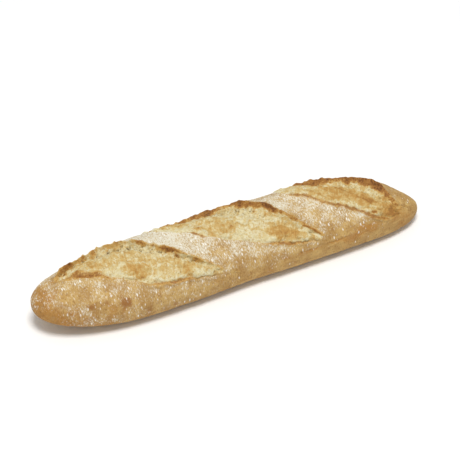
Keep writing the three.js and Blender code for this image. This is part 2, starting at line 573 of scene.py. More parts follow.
@dataclass(frozen=True)
class Spill:
    """Flour that covers the far start of a cut."""

    amount: float = 0.75
    where: Slope = Slope(0.35, 0.9)
    patches: Rough = Rough(5.0, 1.0, 19.0)
    patch_edge: Slope = Slope(-0.1, 0.5)


@dataclass(frozen=True)
class CutMake:
    """The sizes that all the cuts share."""

    ear: Ear = Ear()
    lip: Lip = Lip()
    dough: TornDough = TornDough()
    curds: Curds = Curds()
    pores: Pores = Pores()
    heat: Heat = Heat()
    spill: Spill = Spill()


@dataclass
class Opening:
    """One cut laid over the crust: where each point lies in it, and what becomes of it."""

    cut: Cut
    make: CutMake
    x: Array
    w: Array
    base: tuple
    half_girth: float

    def __post_init__(self) -> None:
        """Measure each point against the cut's ragged edges."""
        cut, ear, lip, curds = self.cut, self.make.ear, self.make.lip, self.make.curds
        placed = cut.place(self.x, self.w, self.half_girth)
        self.u, self.v, self.far = placed.along, placed.across, placed.far
        gap = placed.ear - placed.lip
        self.grip = ease(0.0, self.make.dough.closed, gap)
        self.end = ease(0.0, self.make.dough.end_taper, 1.0 - np.abs(self.u))
        self.strength = cut.lip_strength(self.u)
        self.along = self.u * placed.run / 2
        self.curdled = lumps((self.along, curds.row, curds.drift * self.v), curds.size)
        torn = lip.torn.over(self.x, self.w)
        spilt = curds.spill * (1.0 - curds.held * self.strength) * self.curdled
        lip_at = placed.lip + lip.ragged.over(self.x, self.w) + torn - spilt
        ear_at = placed.ear + ear.lean + ear.ragged.over(self.x, self.w) + torn
        self.wall_width = np.maximum(ear.wall, cut.wall_share * gap)
        self.past_lip = self.v - lip_at
        self.past_foot = self.v - ear_at + self.wall_width
        self.beyond = np.maximum(self.v - ear_at, 0.0)
        floor_width = np.maximum(ear_at - self.wall_width - lip_at, 1.0)
        self.share = np.clip(self.past_lip / floor_width, 0.0, 1.0)
        self.wall = np.clip(self.past_foot / self.wall_width, 0.0, 1.0)
        self.climb = ear.straight * self.wall + (1.0 - ear.straight) * self.wall**3
        self.nearness = np.abs(self.v - (placed.lip + placed.ear) / 2)
        self.nearness = self.nearness + PAST_END * np.maximum(np.abs(self.u) - 1.0, 0.0)
        self.inside = self.dough_share()
        self.tear()

    def dough_share(self) -> Array:
        """Share of the torn dough over the crust; its step is softer where the lip is weak."""
        lip = self.make.lip
        soft = lip.softens.at(self.u) * (1.0 - lip.firm * lip.firms.at(self.strength))
        start = -lip.step * (1.0 + lip.step_out * soft)
        return ease(start, lip.step * (1.0 + lip.step_in * soft), self.past_lip)

    def swell(self) -> Array:
        """Broad swelling of the dough, sunk a little along both of its edges."""
        dough, s = self.make.dough, self.share
        swell = dough.swell * (4.0 * s * (1.0 - s)) ** dough.power
        swell = swell * kept(dough.end_swell, self.end)
        swell = swell * (1.0 + touched(self.cut.swell_touches, self.u))
        trough = dough.at_foot * self.cut.trough
        trough = trough * (1.0 - dough.shallow * dough.shallows.at(self.u))
        sunk = dough.at_lip * (1.0 - s) + trough * s
        return swell + sunk * kept(dough.end_edges, self.end)

    def tear(self) -> None:
        """Work out the ledges, folds, sheets, strands, curds and pores of the torn dough."""
        dough, pores, curds = self.make.dough, self.make.pores, self.make.curds
        self.crag = grain(self.base, dough.fine_crags[0].size)
        self.ledges = dough.ledges.over(self.along, self.v)
        wandered = self.along + dough.fold_wander * dough.folds.along * self.crag
        self.folds = dough.folds.over(wandered, self.v)
        self.folded = dough.folded_where.at(dough.folded.over(self.along, self.v))
        wandered = self.along + dough.sheet_wander * dough.sheets.along * self.crag
        self.sheets = dough.sheets.over(wandered, self.v)
        self.strands = dough.strands.over(self.along, self.v)
        self.tears = bump(self.folds, dough.fold_width) * self.folded
        self.curd = curds.thickness + self.curdled
        self.curd = self.curd * bump(self.past_lip - curds.at, curds.reach)
        reach = pores.reach + pores.reach_share * self.wall_width
        zone = bump(self.past_foot - pores.above_foot * self.wall_width, reach)
        self.pore_zone = zone * (1.0 - pores.fewer * pores.fewer_from.at(self.u))
        field_of_pores = grain((self.along, pores.stretch * self.v, pores.slice), pores.size)
        self.pores = pores.opens.at(field_of_pores) * self.pore_zone

    def torn_rise(self) -> Array:
        """Height of the torn dough, with all of its relief."""
        dough, pores = self.make.dough, self.make.pores
        rise = self.swell() + dough.lumps.soft(self.base) + dough.crags.soft(self.base)
        rise = rise + sum(crags.fine(self.base) for crags in dough.fine_crags)
        rise = rise + dough.ledges.rise * self.ledges + self.make.curds.rise * self.curd
        rise = rise + dough.folds.rise * self.tears
        rise = rise + dough.sheets.rise * (dough.sheet_edge.at(self.sheets) - 0.5)
        calm = ease(0.0, dough.calm_reach, 1.0 - np.abs(self.u))
        rise = rise * kept(dough.calm_low, calm)
        strand_rise = dough.strands.rise + dough.wall_strands * dough.nears_wall.at(self.share)
        gully = pores.gully * bump(self.past_foot, pores.gully_reach)
        gully = gully * pores.gully_ends.at(self.u)
        return rise + strand_rise * self.strands - pores.depth * self.pores - gully

    def ear_fade(self) -> Array:
        """Share of the ear that is left towards the near end of the cut."""
        return 1.0 - self.make.ear.fade * self.make.ear.fades.at(self.u)

    def ear_start(self) -> Array:
        """Share of the ear that has risen from the far start of the cut."""
        start = ease(-1.0, 2.0 * self.cut.ear_start - 1.0, self.u)
        return kept(self.make.ear.start_low, start)

    def ear_back(self) -> Array:
        """Share of the ear behind its crest."""
        return np.exp(-((self.beyond / self.make.ear.back) ** self.make.ear.back_power))

    def ear_rise(self) -> Array:
        """Height of the ear, with its uneven crest."""
        ear, fade = self.make.ear, self.ear_fade()
        uneven = self.along + ear.shift.along(self.along)
        crest = 1.0 + ear.crest.over(uneven, ear.crest_drawn * self.v)
        crest = crest + ear.fine_crest.over(self.x, self.w)
        flaky = sum(skin.fine(self.base) for skin in ear.skin)
        rise = ear.rise * fade * crest + fade * flaky
        rise = rise + touched(self.cut.ear_touches, self.u)
        return self.climb * self.ear_back() * rise * self.ear_start()

    def ear_lean(self) -> Array:
        """How far the ear leans over the opening."""
        ear = self.make.ear
        lean = ear.lean * self.ear_fade() ** 2 * (1.0 - ear.upright * ear.upright_from.at(self.u))
        return self.grip * self.ear_start() * lean * self.wall**ear.lean_power * self.ear_back()

    def lip_rise(self) -> Array:
        """Height of the curled lip, hollow below dough that hangs over it."""
        lip = self.make.lip
        curl = (lip.plain_rise + lip.curled_rise * self.strength) * lip.rise
        curl = curl * bump(self.past_lip + lip.behind, lip.width)
        hanging = touched(self.cut.undercuts, self.u)
        brim = hanging * bump(self.past_lip - lip.hang_at, lip.hang_reach)
        curl = curl * kept(lip.end_low, self.end)
        return curl - lip.hollow_depth * self.hollow() + lip.brim_rise * brim

    def hollow(self) -> Array:
        """Share of the hollow below hanging dough."""
        lip = self.make.lip
        hanging = touched(self.cut.undercuts, self.u)
        return hanging * bump(self.past_lip + lip.hang_at, lip.hang_reach)

    def toast_from(self) -> Array:
        """How far up the ear's wall its toasted edge starts."""
        heat = self.make.heat
        start = heat.starts - heat.wider * heat.widens.at(self.u)
        start = start + self.cut.toast_narrows * heat.narrows.at(self.u)
        start = start + heat.ragged.along(self.along) + heat.fringe.along(self.along)
        return np.clip(start, heat.lowest, heat.highest)

    def ear_heat(self) -> Array:
        """How much heat the ear caught, from 0 to about 1."""
        heat = self.make.heat
        caught = self.cut.heat_plain + touched(self.cut.heat_touches, self.u)
        caught = caught + heat.uneven.along(self.along)
        return caught + heat.fine.over(self.along, heat.fine_drawn * self.v)

    def toast(self) -> Array:
        """Share of the toasted crust on the ear, and of the dark in the hollow below hanging dough
        at the lip, which is partly scorch and partly painted shade.
        """
        heat = self.make.heat
        ear = ease(0.0, heat.deepens, self.wall - self.toast_from())
        ear = ear * bump(self.beyond, heat.over_crest)
        ear = heat.shows.at(self.grip) * ear * self.ear_heat()
        scorch_and_shade = self.hollow() * (heat.scorch_and_shade_strength + heat.scorch_and_shade.over(self.x, self.w))
        return np.maximum(ear, self.grip * scorch_and_shade)

    def brown(self, closing: Array) -> Array:
        """How brown the torn dough is, from 0 to about 1."""
        heat = self.make.heat
        brown = heat.crags * self.crag + heat.ledges * self.ledges + heat.strands * self.strands
        brown = brown + heat.fold_edge.along(self.folds) * self.folded
        brown = brown + heat.sheet_edge.along(self.sheets) + heat.sheet_top.along(self.sheets)
        under_toast = heat.under_toast.along(self.wall - self.toast_from())
        brown = brown + self.grip * under_toast * np.clip(self.ear_heat(), 0.0, 1.0)
        return 0.5 + 0.5 * np.clip(brown, -1.0, 1.0) + heat.closing_brown * closing

    def lip_brown(self) -> Array:
        """Share of the browned lip."""
        lip = self.make.lip
        reach = lip.brown_reach + lip.brown_widens * self.strength
        edge = bump(self.past_lip + lip.brown_at, reach)
        in_length = (np.abs(self.u) < 1.0).astype(float)
        return in_length * lip.brown_shows.at(self.grip) * self.strength * self.end * edge

    def pore_shade_share(self) -> Array:
        """How much painted shade darkens the pores, their gully and the folds."""
        pores = self.make.pores
        shade = pores.shade - pores.paler * pores.paler_from.at(self.u)
        dark = shade * self.pore_zone + pores.dark * self.pores
        return dark * (1.0 - pores.clear.at(self.wall)) + pores.shade_in_folds * self.tears

    def spilt_flour(self) -> Array:
        """Share of the flour that lies on the torn dough."""
        spill = self.make.spill
        patches = spill.patch_edge.at(spill.patches.over(self.x, self.w))
        return spill.amount * spill.where.at(-self.u) * patches

    def rise(self) -> Array:
        """Height that this cut adds to the crust."""
        torn = self.inside * (1.0 - self.climb) * self.torn_rise()
        return self.grip * (torn + self.ear_rise() + self.lip_rise())

    def pale_curd(self) -> Array:
        """Share of the curds that the oven left pale."""
        curds = self.make.curds
        browned = curds.browned * curds.browned_where.at(self.strength)
        return np.clip(self.curd, 0.0, 1.0) * (1.0 - browned)

    def masks(self) -> dict[Mask, Array]:
        """Share of each finish that this cut brings.

        Returns:
            The finishes with their shares from 0 to about 1.
        """
        heat, dough = self.make.heat, self.make.dough
        closing = heat.closing.at(self.u + heat.closing_ragged.over(self.x, self.w))
        crumb = dough.shows.at(self.grip) * self.inside * bump(self.beyond, dough.over_crest)
        return {
            Mask.CRUMB: crumb * (1.0 - heat.closing_crust * closing),
            Mask.TOAST_AND_SHADE: self.toast(),
            Mask.LIP: self.lip_brown(),
            Mask.PORE_SHADE: self.grip * self.pore_shade_share() * self.inside,
            Mask.CURD: self.grip * self.inside * self.pale_curd() * (1.0 - closing),
            Mask.SHARE: self.share,
            Mask.BROWN: self.brown(closing),
        }

    def pull(self, number: int) -> Array:
        """Coordinates along and across the cut, apart from those of the other cuts.

        Args:
            number: Which cut this is.

        Returns:
            Three coordinates on the last axis.
        """
        level = np.full_like(self.v, PULL_APART * number)
        return np.stack([self.along, self.v, level], axis=-1)


@dataclass(frozen=True)
class Patch:
    """A soft patch of the crust where a finish is stronger or weaker."""

    at: Pair
    reach: Pair
    amount: float

    def amount_at(self, x: Array, w: Array) -> Array:
        """How much it adds at x and w."""
        return self.amount * spot(x, w, self.at, self.reach)


Patches = tuple[Patch, ...]


@dataclass(frozen=True)
class Sifting:
    """Flour sifted over the top of the loaf."""

    middle: float = -8.0
    edge: Slope = Slope(66.0, 4.0)
    thickness: float = 0.58
    least: float = 0.12
    most: float = 0.95
    patchy: tuple[Rough, ...] = (Rough(17.0, 0.14, 3.0), Rough(5.5, 0.14, 61.0))

    def amount_at(self, x: Array, w: Array) -> Array:
        """How thickly it lies at x and w before anything rubbed it off."""
        amount = self.thickness * self.edge.at(np.abs(w - self.middle)) + self.least
        return amount + sum(rough.over(x, w) for rough in self.patchy)


@dataclass(frozen=True)
class Pebbles:
    """The fine pebbled skin of the crust, smoother below."""

    kinds: tuple[Rough, ...] = (Rough(2.0, 0.1), Rough(4.5, 0.14))
    stretch: float = 1.8
    smoother: float = 0.6
    weights: tuple[float, ...] = (0.6, 0.5)

    def fields(self, base: tuple) -> list[Array]:
        """Heights of each kind of pebble, from -1 to 1."""
        stretched = (base[0], base[1] / self.stretch, base[2] / self.stretch)
        return [grain(stretched, kind.size) for kind in self.kinds]


@dataclass(frozen=True)
class Blister:
    """A small raised spot of crust that browned first."""

    at: Pair
    size: float
    rise: float
    brown: float
    ragged: ClassVar[Rough] = Rough(2.5, 0.25, 17.0)

    def share(self, x: Array, w: Array) -> Array:
        """Share of the blister at x and w, with its ragged edge."""
        away = np.hypot(x - self.at[0], w - self.at[1]) / self.size
        return bump(away * (1.0 + self.ragged.over(x, w)), 1.0)


@dataclass(frozen=True)
class Mark:
    """A hollow, flap or knob where the dough tore, with its browning; in a hollow or fold the
    browning is partly painted shade.
    """

    at: Pair
    reach: Pair
    rise: float
    heat: float
    turn: float = 0.0

    def share(self, x: Array, w: Array) -> Array:
        """Share of the mark at x and w."""
        dx, dw = x - self.at[0], w - self.at[1]
        c, s = math.cos(math.radians(self.turn)), math.sin(math.radians(self.turn))
        return bump(c * dx + s * dw, self.reach[0]) * bump(c * dw - s * dx, self.reach[1])


@dataclass(frozen=True)
class Fray:
    """Crust past a cut that pulled apart into a web, with torn dough showing through."""

    at: Pair
    reach: Pair
    torn: float
    baked: float = 0.35
    depth: float = 0.5
    rough: Rough = Rough(1.8, 0.35)
    web: Drawn = Drawn(5.5, 2.5, 23.0)
    slant: float = 0.4
    gap: float = 0.25
    strands: float = 0.25
    torn_rough: Rough = Rough(2.6, 0.12)
    shows: Slope = Slope(0.05, 0.6)

    def pull_apart(self, layers: "Layers") -> None:
        """Draw the crust out into its web.

        Args:
            layers: The surface being worked.
        """
        share = spot(layers.x, layers.w, self.at, self.reach)
        lines = self.web.over(layers.x, layers.w - self.slant * layers.x)
        web = self.rough.fine(layers.base) - self.depth * bump(lines, self.gap)
        layers.rise = layers.rise + share * web
        torn = self.torn + self.strands * lines + self.torn_rough.fine(layers.base)
        layers.cover(Mask.CRUMB, self.shows.at(share) * torn)
        layers.masks[Mask.BROWN] = layers.masks[Mask.BROWN] + self.baked * self.shows.at(share)


@dataclass(frozen=True)
class Crease:
    """The shallow fold low along the near flank, where the loaf spread as it baked."""

    at: Pair = (52.0, 39.0)
    reach: Pair = (58.0, 1.5)
    sway: Rough = Rough(22.0, 2.2, 83.0)
    sway_slant: float = 0.3
    gaps: Rough = Rough(9.0, 1.0, 43.0, 5.0)
    gap_edge: Slope = Slope(-0.7, 0.2)
    depth: float = 0.5
    bake: float = 0.6

    def share(self, x: Array, w: Array) -> Array:
        """How much of the fold lies at x and w."""
        swayed = w - self.sway.over(x, self.sway_slant * w)
        return spot(x, swayed, self.at, self.reach) * self.gap_edge.at(self.gaps.along(x))


@dataclass(frozen=True)
class MeshPlan:
    """How the rings and rows of the loaf's mesh are laid out."""

    rings: int = 436
    rows: int = 225
    slant_reach: float = 20.0
    slant_middle: float = 7.0
    slant_starts: float = 10.0
    slant_full: float = 75.0
    crowd_at: float = 120.5
    crowd_reach: float = 6.0
    crowd_extra: float = 0.5
    under_density: float = 0.3
    under_from: float = 66.0
    under_to: float = 50.0
    lip_extra: float = 0.8
    lip_reach: float = 2.6
    ear_extra: float = 1.8
    ear_reach: float = 3.2
    ear_open: float = 16.0
    ear_changes: tuple[float, ...] = (-12.0, 75.0)
    turn_rings: int = 23
    held_share: float = 0.5
    fine: int = 1200
    fine_length: int = 4000


@dataclass
class Layers:
    """The surface while it is worked: where its points lie, their rise and their finishes."""

    x: Array
    w: Array
    base: tuple
    rise: Array
    leaned_x: Array
    leaned_w: Array
    spill: Array
    pull: Array
    masks: dict[Mask, Array]

    def cover(self, mask: Mask, amount: Array) -> None:
        """Strengthen a finish where it is weaker than this amount."""
        self.masks[mask] = np.maximum(self.masks[mask], amount)


@dataclass
class Skin:
    """The worked-out surface: points and the masks of its finishes."""

    points: Array
    masks: dict[Mask, Array]
    pull: Array


@dataclass
class Baguette:
    """The loaf: its dough, its cuts, and everything the oven did to them."""

    body: PlainLoaf = PlainLoaf()
    cuts: tuple[Cut, ...] = (
        Cut(
            start=(-131.0, -5.5),
            end=(-14.5, 81.0),
            lip=(3.5, 9.5, -12.0, -6.5),
            ear=(25.0, -15.0, -5.0, 9.5),
            wall_share=0.17,
            lip_plain=0.4,
            lip_touches=(Touch(-0.65, 0.25, 0.6), Touch(0.3, 0.25, 0.35)),
            ear_touches=(
                Touch(-0.8, 0.1, 1.0),
                Touch(-0.3, 0.2, 0.9),
                Touch(0.14, 0.1, -0.9),
                Touch(-0.6, 0.016, 1.0),
                Touch(-0.44, 0.018, 1.4),
                Touch(-0.24, 0.014, 1.2),
                Touch(-0.04, 0.025, 0.8),
            ),
            heat_plain=0.26,
            heat_touches=(Touch(-0.84, 0.12, 0.5), Touch(0.3, 0.25, 0.35)),
            swell_touches=(Touch(-0.6, 0.25, -0.4),),
            undercuts=(Touch(-0.62, 0.26, 1.0),),
            lip_bends=(Touch(0.5, 0.25, 3.2),),
            trough=0.6,
        ),
        Cut(
            start=(-54.0, -54.5),
            end=(63.5, 77.0),
            lip=(10.5, -1.5, -2.5, -4.0),
            ear=(26.0, -19.0, -10.0, 5.0),
            wall_share=0.34,
            lip_plain=0.3,
            lip_touches=(Touch(-0.42, 0.08, 0.6), Touch(0.5, 0.22, 0.6)),
            ear_touches=(
                Touch(-0.68, 0.1, 1.2),
                Touch(-0.43, 0.07, 1.0),
                Touch(-0.12, 0.13, -1.4),
                Touch(0.47, 0.12, 0.9),
            ),
            heat_plain=0.85,
            heat_touches=(
                Touch(-0.6, 0.2, -0.35),
                Touch(-0.36, 0.06, 0.2),
                Touch(-0.17, 0.08, -0.45),
                Touch(0.25, 0.2, 0.15),
                Touch(0.62, 0.12, -0.3),
            ),
            swell_touches=(Touch(-0.5, 0.28, -0.55),),
            ear_start=0.12,
        ),
        Cut(
            start=(48.5, -52.0),
            end=(126.5, 59.5),
            lip=(12.5, -2.0, 13.5, 4.5),
            ear=(17.0, 9.5, 2.0, -34.0),
            wall_share=0.29,
            lip_plain=0.9,
            ear_touches=(Touch(-0.12, 0.14, -0.8), Touch(0.45, 0.25, 1.8)),
            heat_plain=0.9,
            heat_touches=(Touch(-0.8, 0.2, -0.2), Touch(0.3, 0.25, 0.15), Touch(1.0, 0.2, -0.6)),
            lip_bends=(Touch(-0.45, 0.2, 2.4), Touch(0.1, 0.3, 1.0)),
            toast_narrows=-0.25,
            swell_touches=(Touch(0.82, 0.26, -0.85),),
            ear_start=0.12,
        ),
    )
    make: CutMake = CutMake()
    plan: MeshPlan = MeshPlan()
    near_bulges: Touches = (Touch(-95.0, 40.0, 0.7), Touch(65.0, 50.0, 0.9))
    far_bulges: Touches = (
        Touch(-110.0, 30.0, -0.5),
        Touch(-62.0, 13.0, 0.9),
        Touch(5.0, 32.0, -0.8),
        Touch(56.0, 12.0, 0.7),
        Touch(112.0, 15.0, 1.2),
        Touch(139.0, 10.0, -1.2),
    )
    near_band: Band = Band(12.0, 34.0, 60.0, 82.0)
    far_band: Band = Band(12.0, -16.0, -50.0, -74.0)
    swell: Rough = Rough(30.0, 0.4)
    sifting: Sifting = Sifting()
    pebbles: Pebbles = Pebbles()
    # the crust is drawn darker towards the lower flank
    flank_darkening: float = 0.22
    flank: Slope = Slope(36.0, 60.0)
    underside: Slope = Slope(62.0, 74.0)
    blister_bares: float = 0.4
    dustings: Patches = (
        Patch((-48.0, -10.0), (22.0, 18.0), 0.55),
        Patch((42.0, -14.0), (18.0, 18.0), 0.12),
        Patch((-32.0, 22.0), (24.0, 18.0), 0.06),
        Patch((16.0, 30.0), (30.0, 10.0), 0.16),
        Patch((-98.0, 46.0), (32.0, 7.0), 0.36),
        Patch((-116.0, 26.0), (20.0, 14.0), 0.07),
        Patch((50.0, -2.0), (24.0, 28.0), -0.18),
        Patch((-127.0, 4.0), (15.0, 16.0), -0.14),
        Patch((91.9, 22.2), (2.4, 1.8), 0.8),
        Patch((-102.5, 12.8), (2.0, 2.0), 0.3),
        Patch((-111.5, 9.8), (3.6, 1.6), 0.25),
        Patch((-95.7, 21.0), (2.6, 2.4), 0.3),
        Patch((-107.0, 15.0), (16.0, 8.0), -0.08),
        Patch((-105.0, 14.0), (40.0, 14.0), -0.14),
        Patch((120.0, -16.0), (16.0, 16.0), -0.3),
        Patch((-142.0, 10.0), (16.0, 60.0), -0.2),
        Patch((142.0, 20.0), (28.0, 60.0), -0.5),
        Patch((95.0, 54.0), (60.0, 18.0), -0.22),
    )
    bakes: Patches = (
        Patch((-143.0, 0.0), (12.0, 50.0), 0.9),
        Patch((-95.0, 30.0), (50.0, 22.0), 0.25),
        Patch((-108.0, 46.0), (26.0, 12.0), 0.25),
        Patch((-128.0, 48.0), (16.0, 16.0), 0.6),
        Patch((60.0, 44.0), (45.0, 8.0), 0.15),
        Patch((8.0, 46.0), (18.0, 6.0), 0.35),
        Patch((100.0, 46.0), (30.0, 20.0), 0.1),
        Patch((128.0, 40.0), (14.0, 16.0), 0.4),
        Patch((93.0, 35.0), (9.0, 5.0), 0.8),
        Patch((78.0, 40.0), (7.0, 4.0), 0.5),
        Patch((108.0, 42.0), (8.0, 4.0), -0.4),
        Patch((120.0, 34.0), (7.0, 4.0), 0.4),
        Patch((62.0, 44.0), (12.0, 4.0), -0.4),
        Patch((85.0, 56.0), (48.0, 7.0), -0.5),
    )
    brownings: Patches = (
        Patch((-98.0, 0.0), (6.0, 3.0), 0.6),
        Patch((-79.0, 10.6), (4.0, 4.0), 0.6),
        Patch((-64.0, 6.0), (7.0, 5.0), 0.35),
        Patch((-48.0, 22.0), (8.0, 6.0), 0.3),
        Patch((-90.0, -3.6), (6.0, 4.0), -0.4),
        Patch((-85.0, 9.6), (6.0, 3.0), -0.5),
        Patch((-62.0, 20.0), (9.0, 4.0), -0.4),
        Patch((-76.0, -12.0), (10.0, 3.0), 0.3),
        Patch((-10.7, -2.0), (6.0, 2.5), 0.4),
        Patch((-7.0, 3.4), (9.0, 4.5), 0.6),
        Patch((29.7, 17.6), (8.0, 7.0), 0.8),
        Patch((12.0, 4.0), (30.0, 18.0), -0.14),
        Patch((-54.0, 16.0), (20.0, 10.0), 0.1),
        Patch((88.0, 2.0), (24.0, 14.0), 0.25),
        Patch((-124.0, -6.0), (6.0, 5.0), 0.5),
        Patch((9.0, 6.0), (7.0, 9.0), -0.3),
        Patch((99.0, 10.5), (7.0, 5.0), 1.0),
        Patch((102.3, 12.4), (3.4, 3.0), 1.0),
        Patch((36.5, 22.0), (8.0, 4.5), 0.5),
        Patch((82.0, -1.0), (12.0, 6.0), 0.5),
        Patch((60.0, -12.0), (12.0, 8.0), -0.2),
        Patch((116.0, 24.0), (9.0, 9.0), 0.9),
        Patch((118.0, 10.0), (4.0, 3.0), 0.7),
        Patch((108.0, 1.0), (9.0, 3.0), -0.5),
    )
    marks: tuple[Mark, ...] = (
        Mark((-120.3, -7.0), (3.4, 2.2), -2.0, 0.9),
        Mark((-118.5, 0.4), (3.0, 1.4), 1.0, 0.8),
        Mark((-112.0, -1.0), (5.0, 1.8), 0.8, 0.8),
        Mark((-102.0, 3.5), (5.0, 1.5), 0.6, 0.7),
        Mark((-112.0, -14.0), (3.0, 1.6), 0.3, 1.1, -15.0),
        Mark((-118.7, -14.0), (2.2, 1.5), 0.5, 1.1),
        Mark((-68.5, 10.2), (4.5, 1.0), -0.9, 0.45, 45.0),
        Mark((-77.0, 3.0), (6.5, 1.3), -1.1, 0.4, 20.0),
        Mark((-75.0, 0.2), (6.0, 1.8), 0.5, 0.0, 20.0),
        Mark((-77.5, 9.4), (3.0, 2.2), 0.4, 0.35),
        Mark((-74.5, 16.6), (6.0, 1.6), 0.0, 0.5),
        Mark((-42.9, 26.2), (3.0, 1.1), -0.4, 0.55, 30.0),
        Mark((-50.7, 26.6), (2.0, 1.2), -0.5, 0.6),
        Mark((-49.7, 4.4), (6.0, 1.3), 0.4, 1.2, 35.0),
        Mark((-45.5, 10.5), (2.6, 1.3), 0.2, 0.7, 70.0),
        Mark((-33.3, 17.8), (4.0, 1.4), 0.2, 0.8, 40.0),
        Mark((-62.7, -6.2), (5.0, 1.2), 0.2, 0.7, 30.0),
        Mark((-21.5, -3.0), (3.0, 1.4), 1.0, 0.6, 20.0),
        Mark((-0.7, 4.3), (2.0, 1.3), 0.6, 0.6),
        Mark((15.7, -15.0), (2.6, 1.3), 0.0, 0.6, 75.0),
        Mark((23.1, -3.8), (1.5, 1.3), 0.0, 0.5),
        Mark((28.5, 1.2), (1.5, 1.2), 0.0, 0.5),
        Mark((102.3, 22.4), (2.6, 1.6), -1.4, 1.0),
        Mark((108.5, 31.0), (3.4, 2.0), -0.6, 0.6),
    )
    frays: tuple[Fray, ...] = (
        Fray((-14.0, 37.5), (9.0, 4.0), 0.3),
        Fray((65.0, 36.0), (9.0, 4.0), 0.32),
        Fray((122.0, 25.0), (9.0, 8.0), 0.52),
        Fray((130.0, 19.0), (7.0, 6.0), 0.42),
        Fray((111.0, 31.0), (7.0, 3.5), 0.45),
        Fray((-129.0, -5.0), (5.0, 6.0), 0.38),
    )
    blisters: tuple[Blister, ...] = (
        Blister((-89.8, 31.5), 4.8, 0.4, 1.4),
        Blister((-56.0, 44.0), 2.4, 0.25, 0.8),
        Blister((-113.0, 29.4), 3.4, 0.25, 1.1),
        Blister((-102.7, 27.8), 2.6, 0.2, 0.6),
        Blister((-75.3, 42.0), 3.0, 0.2, 0.6),
        Blister((-128.0, 34.0), 2.6, 0.2, 0.5),
        Blister((-132.0, 20.0), 2.2, 0.2, 0.5),
        Blister((28.0, 44.0), 3.0, 0.2, 0.6),
    )
    crease: Crease = Crease()
    pieces: list[bpy.types.Object] = field(default_factory=list)

    # -- layout --

    def leaned(self, station: Array, w: Array) -> Array:
        """X of the ring at a station, at girth w: rings lean, except close to the tips."""
        plan = self.plan
        inset = self.body.length / 2 - np.abs(station)
        lean = plan.slant_reach * ease(plan.slant_starts, plan.slant_full, inset)
        return station - lean * np.sin(math.pi * (w - plan.slant_middle) / self.body.half_girth)

    def stations(self) -> Array:
        """Ring positions along X, spaced evenly along the outline so that the ends stay round."""
        plan, body = self.plan, self.body
        xs = np.linspace(-body.length / 2, body.length / 2, plan.fine_length + 1)
        outline = body.crust(xs, np.full_like(xs, body.half_girth / 2))[:, :2]
        steps = np.linalg.norm(np.diff(outline, axis=0), axis=1)
        steps *= 1.0 + plan.crowd_extra * bump(xs[1:] - plan.crowd_at, plan.crowd_reach)
        lengths = np.concatenate([[0.0], np.cumsum(steps)])
        return np.interp(np.linspace(0.0, lengths[-1], plan.rings + 1), lengths, xs)

    def ring_shares(self, rings: Array) -> tuple[Array, Array, Array]:
        """Measure the rings before their points are placed.

        Args:
            rings: Station of each ring.

        Returns:
            Fine girth steps, the share of each ring's points below them, and the share
            below each cut's ear.
        """
        plan, half = self.plan, self.body.half_girth
        edges = np.linspace(-half, half, plan.fine + 1)
        middles = (edges[1:] + edges[:-1]) / 2
        xs = self.leaned(rings[:, None], middles[None, :])
        top = ease(plan.under_from, plan.under_to, np.abs(middles))
        density = np.broadcast_to(kept(plan.under_density, top), xs.shape).copy()
        below = []
        for cut in self.cuts:
            placed = cut.place(xs, middles[None, :], half)
            crowd = plan.lip_extra * bump(placed.across - placed.lip, plan.lip_reach)
            crowd = crowd + plan.ear_extra * bump(placed.across - placed.ear, plan.ear_reach)
            density += ease(0.0, plan.ear_open, placed.ear - placed.lip) * crowd
            below.append(placed.across < placed.ear)
        sums = np.concatenate([np.zeros((len(rings), 1)), np.cumsum(density, axis=1)], axis=1)
        shares = sums / sums[:, -1:]
        ear_shares = []
        for is_near in below:
            first = np.argmax(is_near, axis=1)
            share = np.take_along_axis(shares, first[:, None], axis=1)[:, 0]
            ear_shares.append(np.where(is_near.any(axis=1), share, 1.0))
        return edges, shares, np.stack(ear_shares)

    def girths(self, rings: Array) -> Array:
        """Girth positions of every ring's points, kept so that rows run along the ears."""
        plan = self.plan
        edges, shares, ears = self.ring_shares(rings)
        held, current = plan.held_share, 0
        starts = np.zeros(len(rings))
        for r, station in enumerate(rings):
            if current < len(plan.ear_changes) and station > plan.ear_changes[current]:
                held += ears[current + 1, r] - ears[current, r]
                current += 1
            starts[r] = ears[current, r] - held
        reach = plan.turn_rings
        smooth = [starts[max(0, r - reach):r + reach + 1].mean() for r in range(len(starts))]
        wanted = (np.arange(plan.rows)[None, :] / plan.rows + np.array(smooth)[:, None]) % 1.0
        return np.stack([np.interp(row, share, edges) for row, share in zip(wanted, shares)])

    # -- relief --

    def plain_layers(self, x: Array, w: Array) -> Layers:
        """Start from the plain crust with its slow swellings.

        Args:
            x: Place along the loaf.
            w: Girth distance from the crown.

        Returns:
            The layers, with every finish still at nothing.
        """
        plain = self.body.crust(x, w)
        base = (plain[..., 0], plain[..., 1], plain[..., 2])
        rise = self.swell.soft(base)
        rise = rise + touched(self.near_bulges, x) * self.near_band.weight(w)
        rise = rise + touched(self.far_bulges, x) * self.far_band.weight(w)
        masks = {mask: np.zeros_like(w) for mask in Mask}
        pull = np.zeros(w.shape + (3,))
        return Layers(x, w, base, rise, x.copy(), w.copy(), np.zeros_like(w), pull, masks)

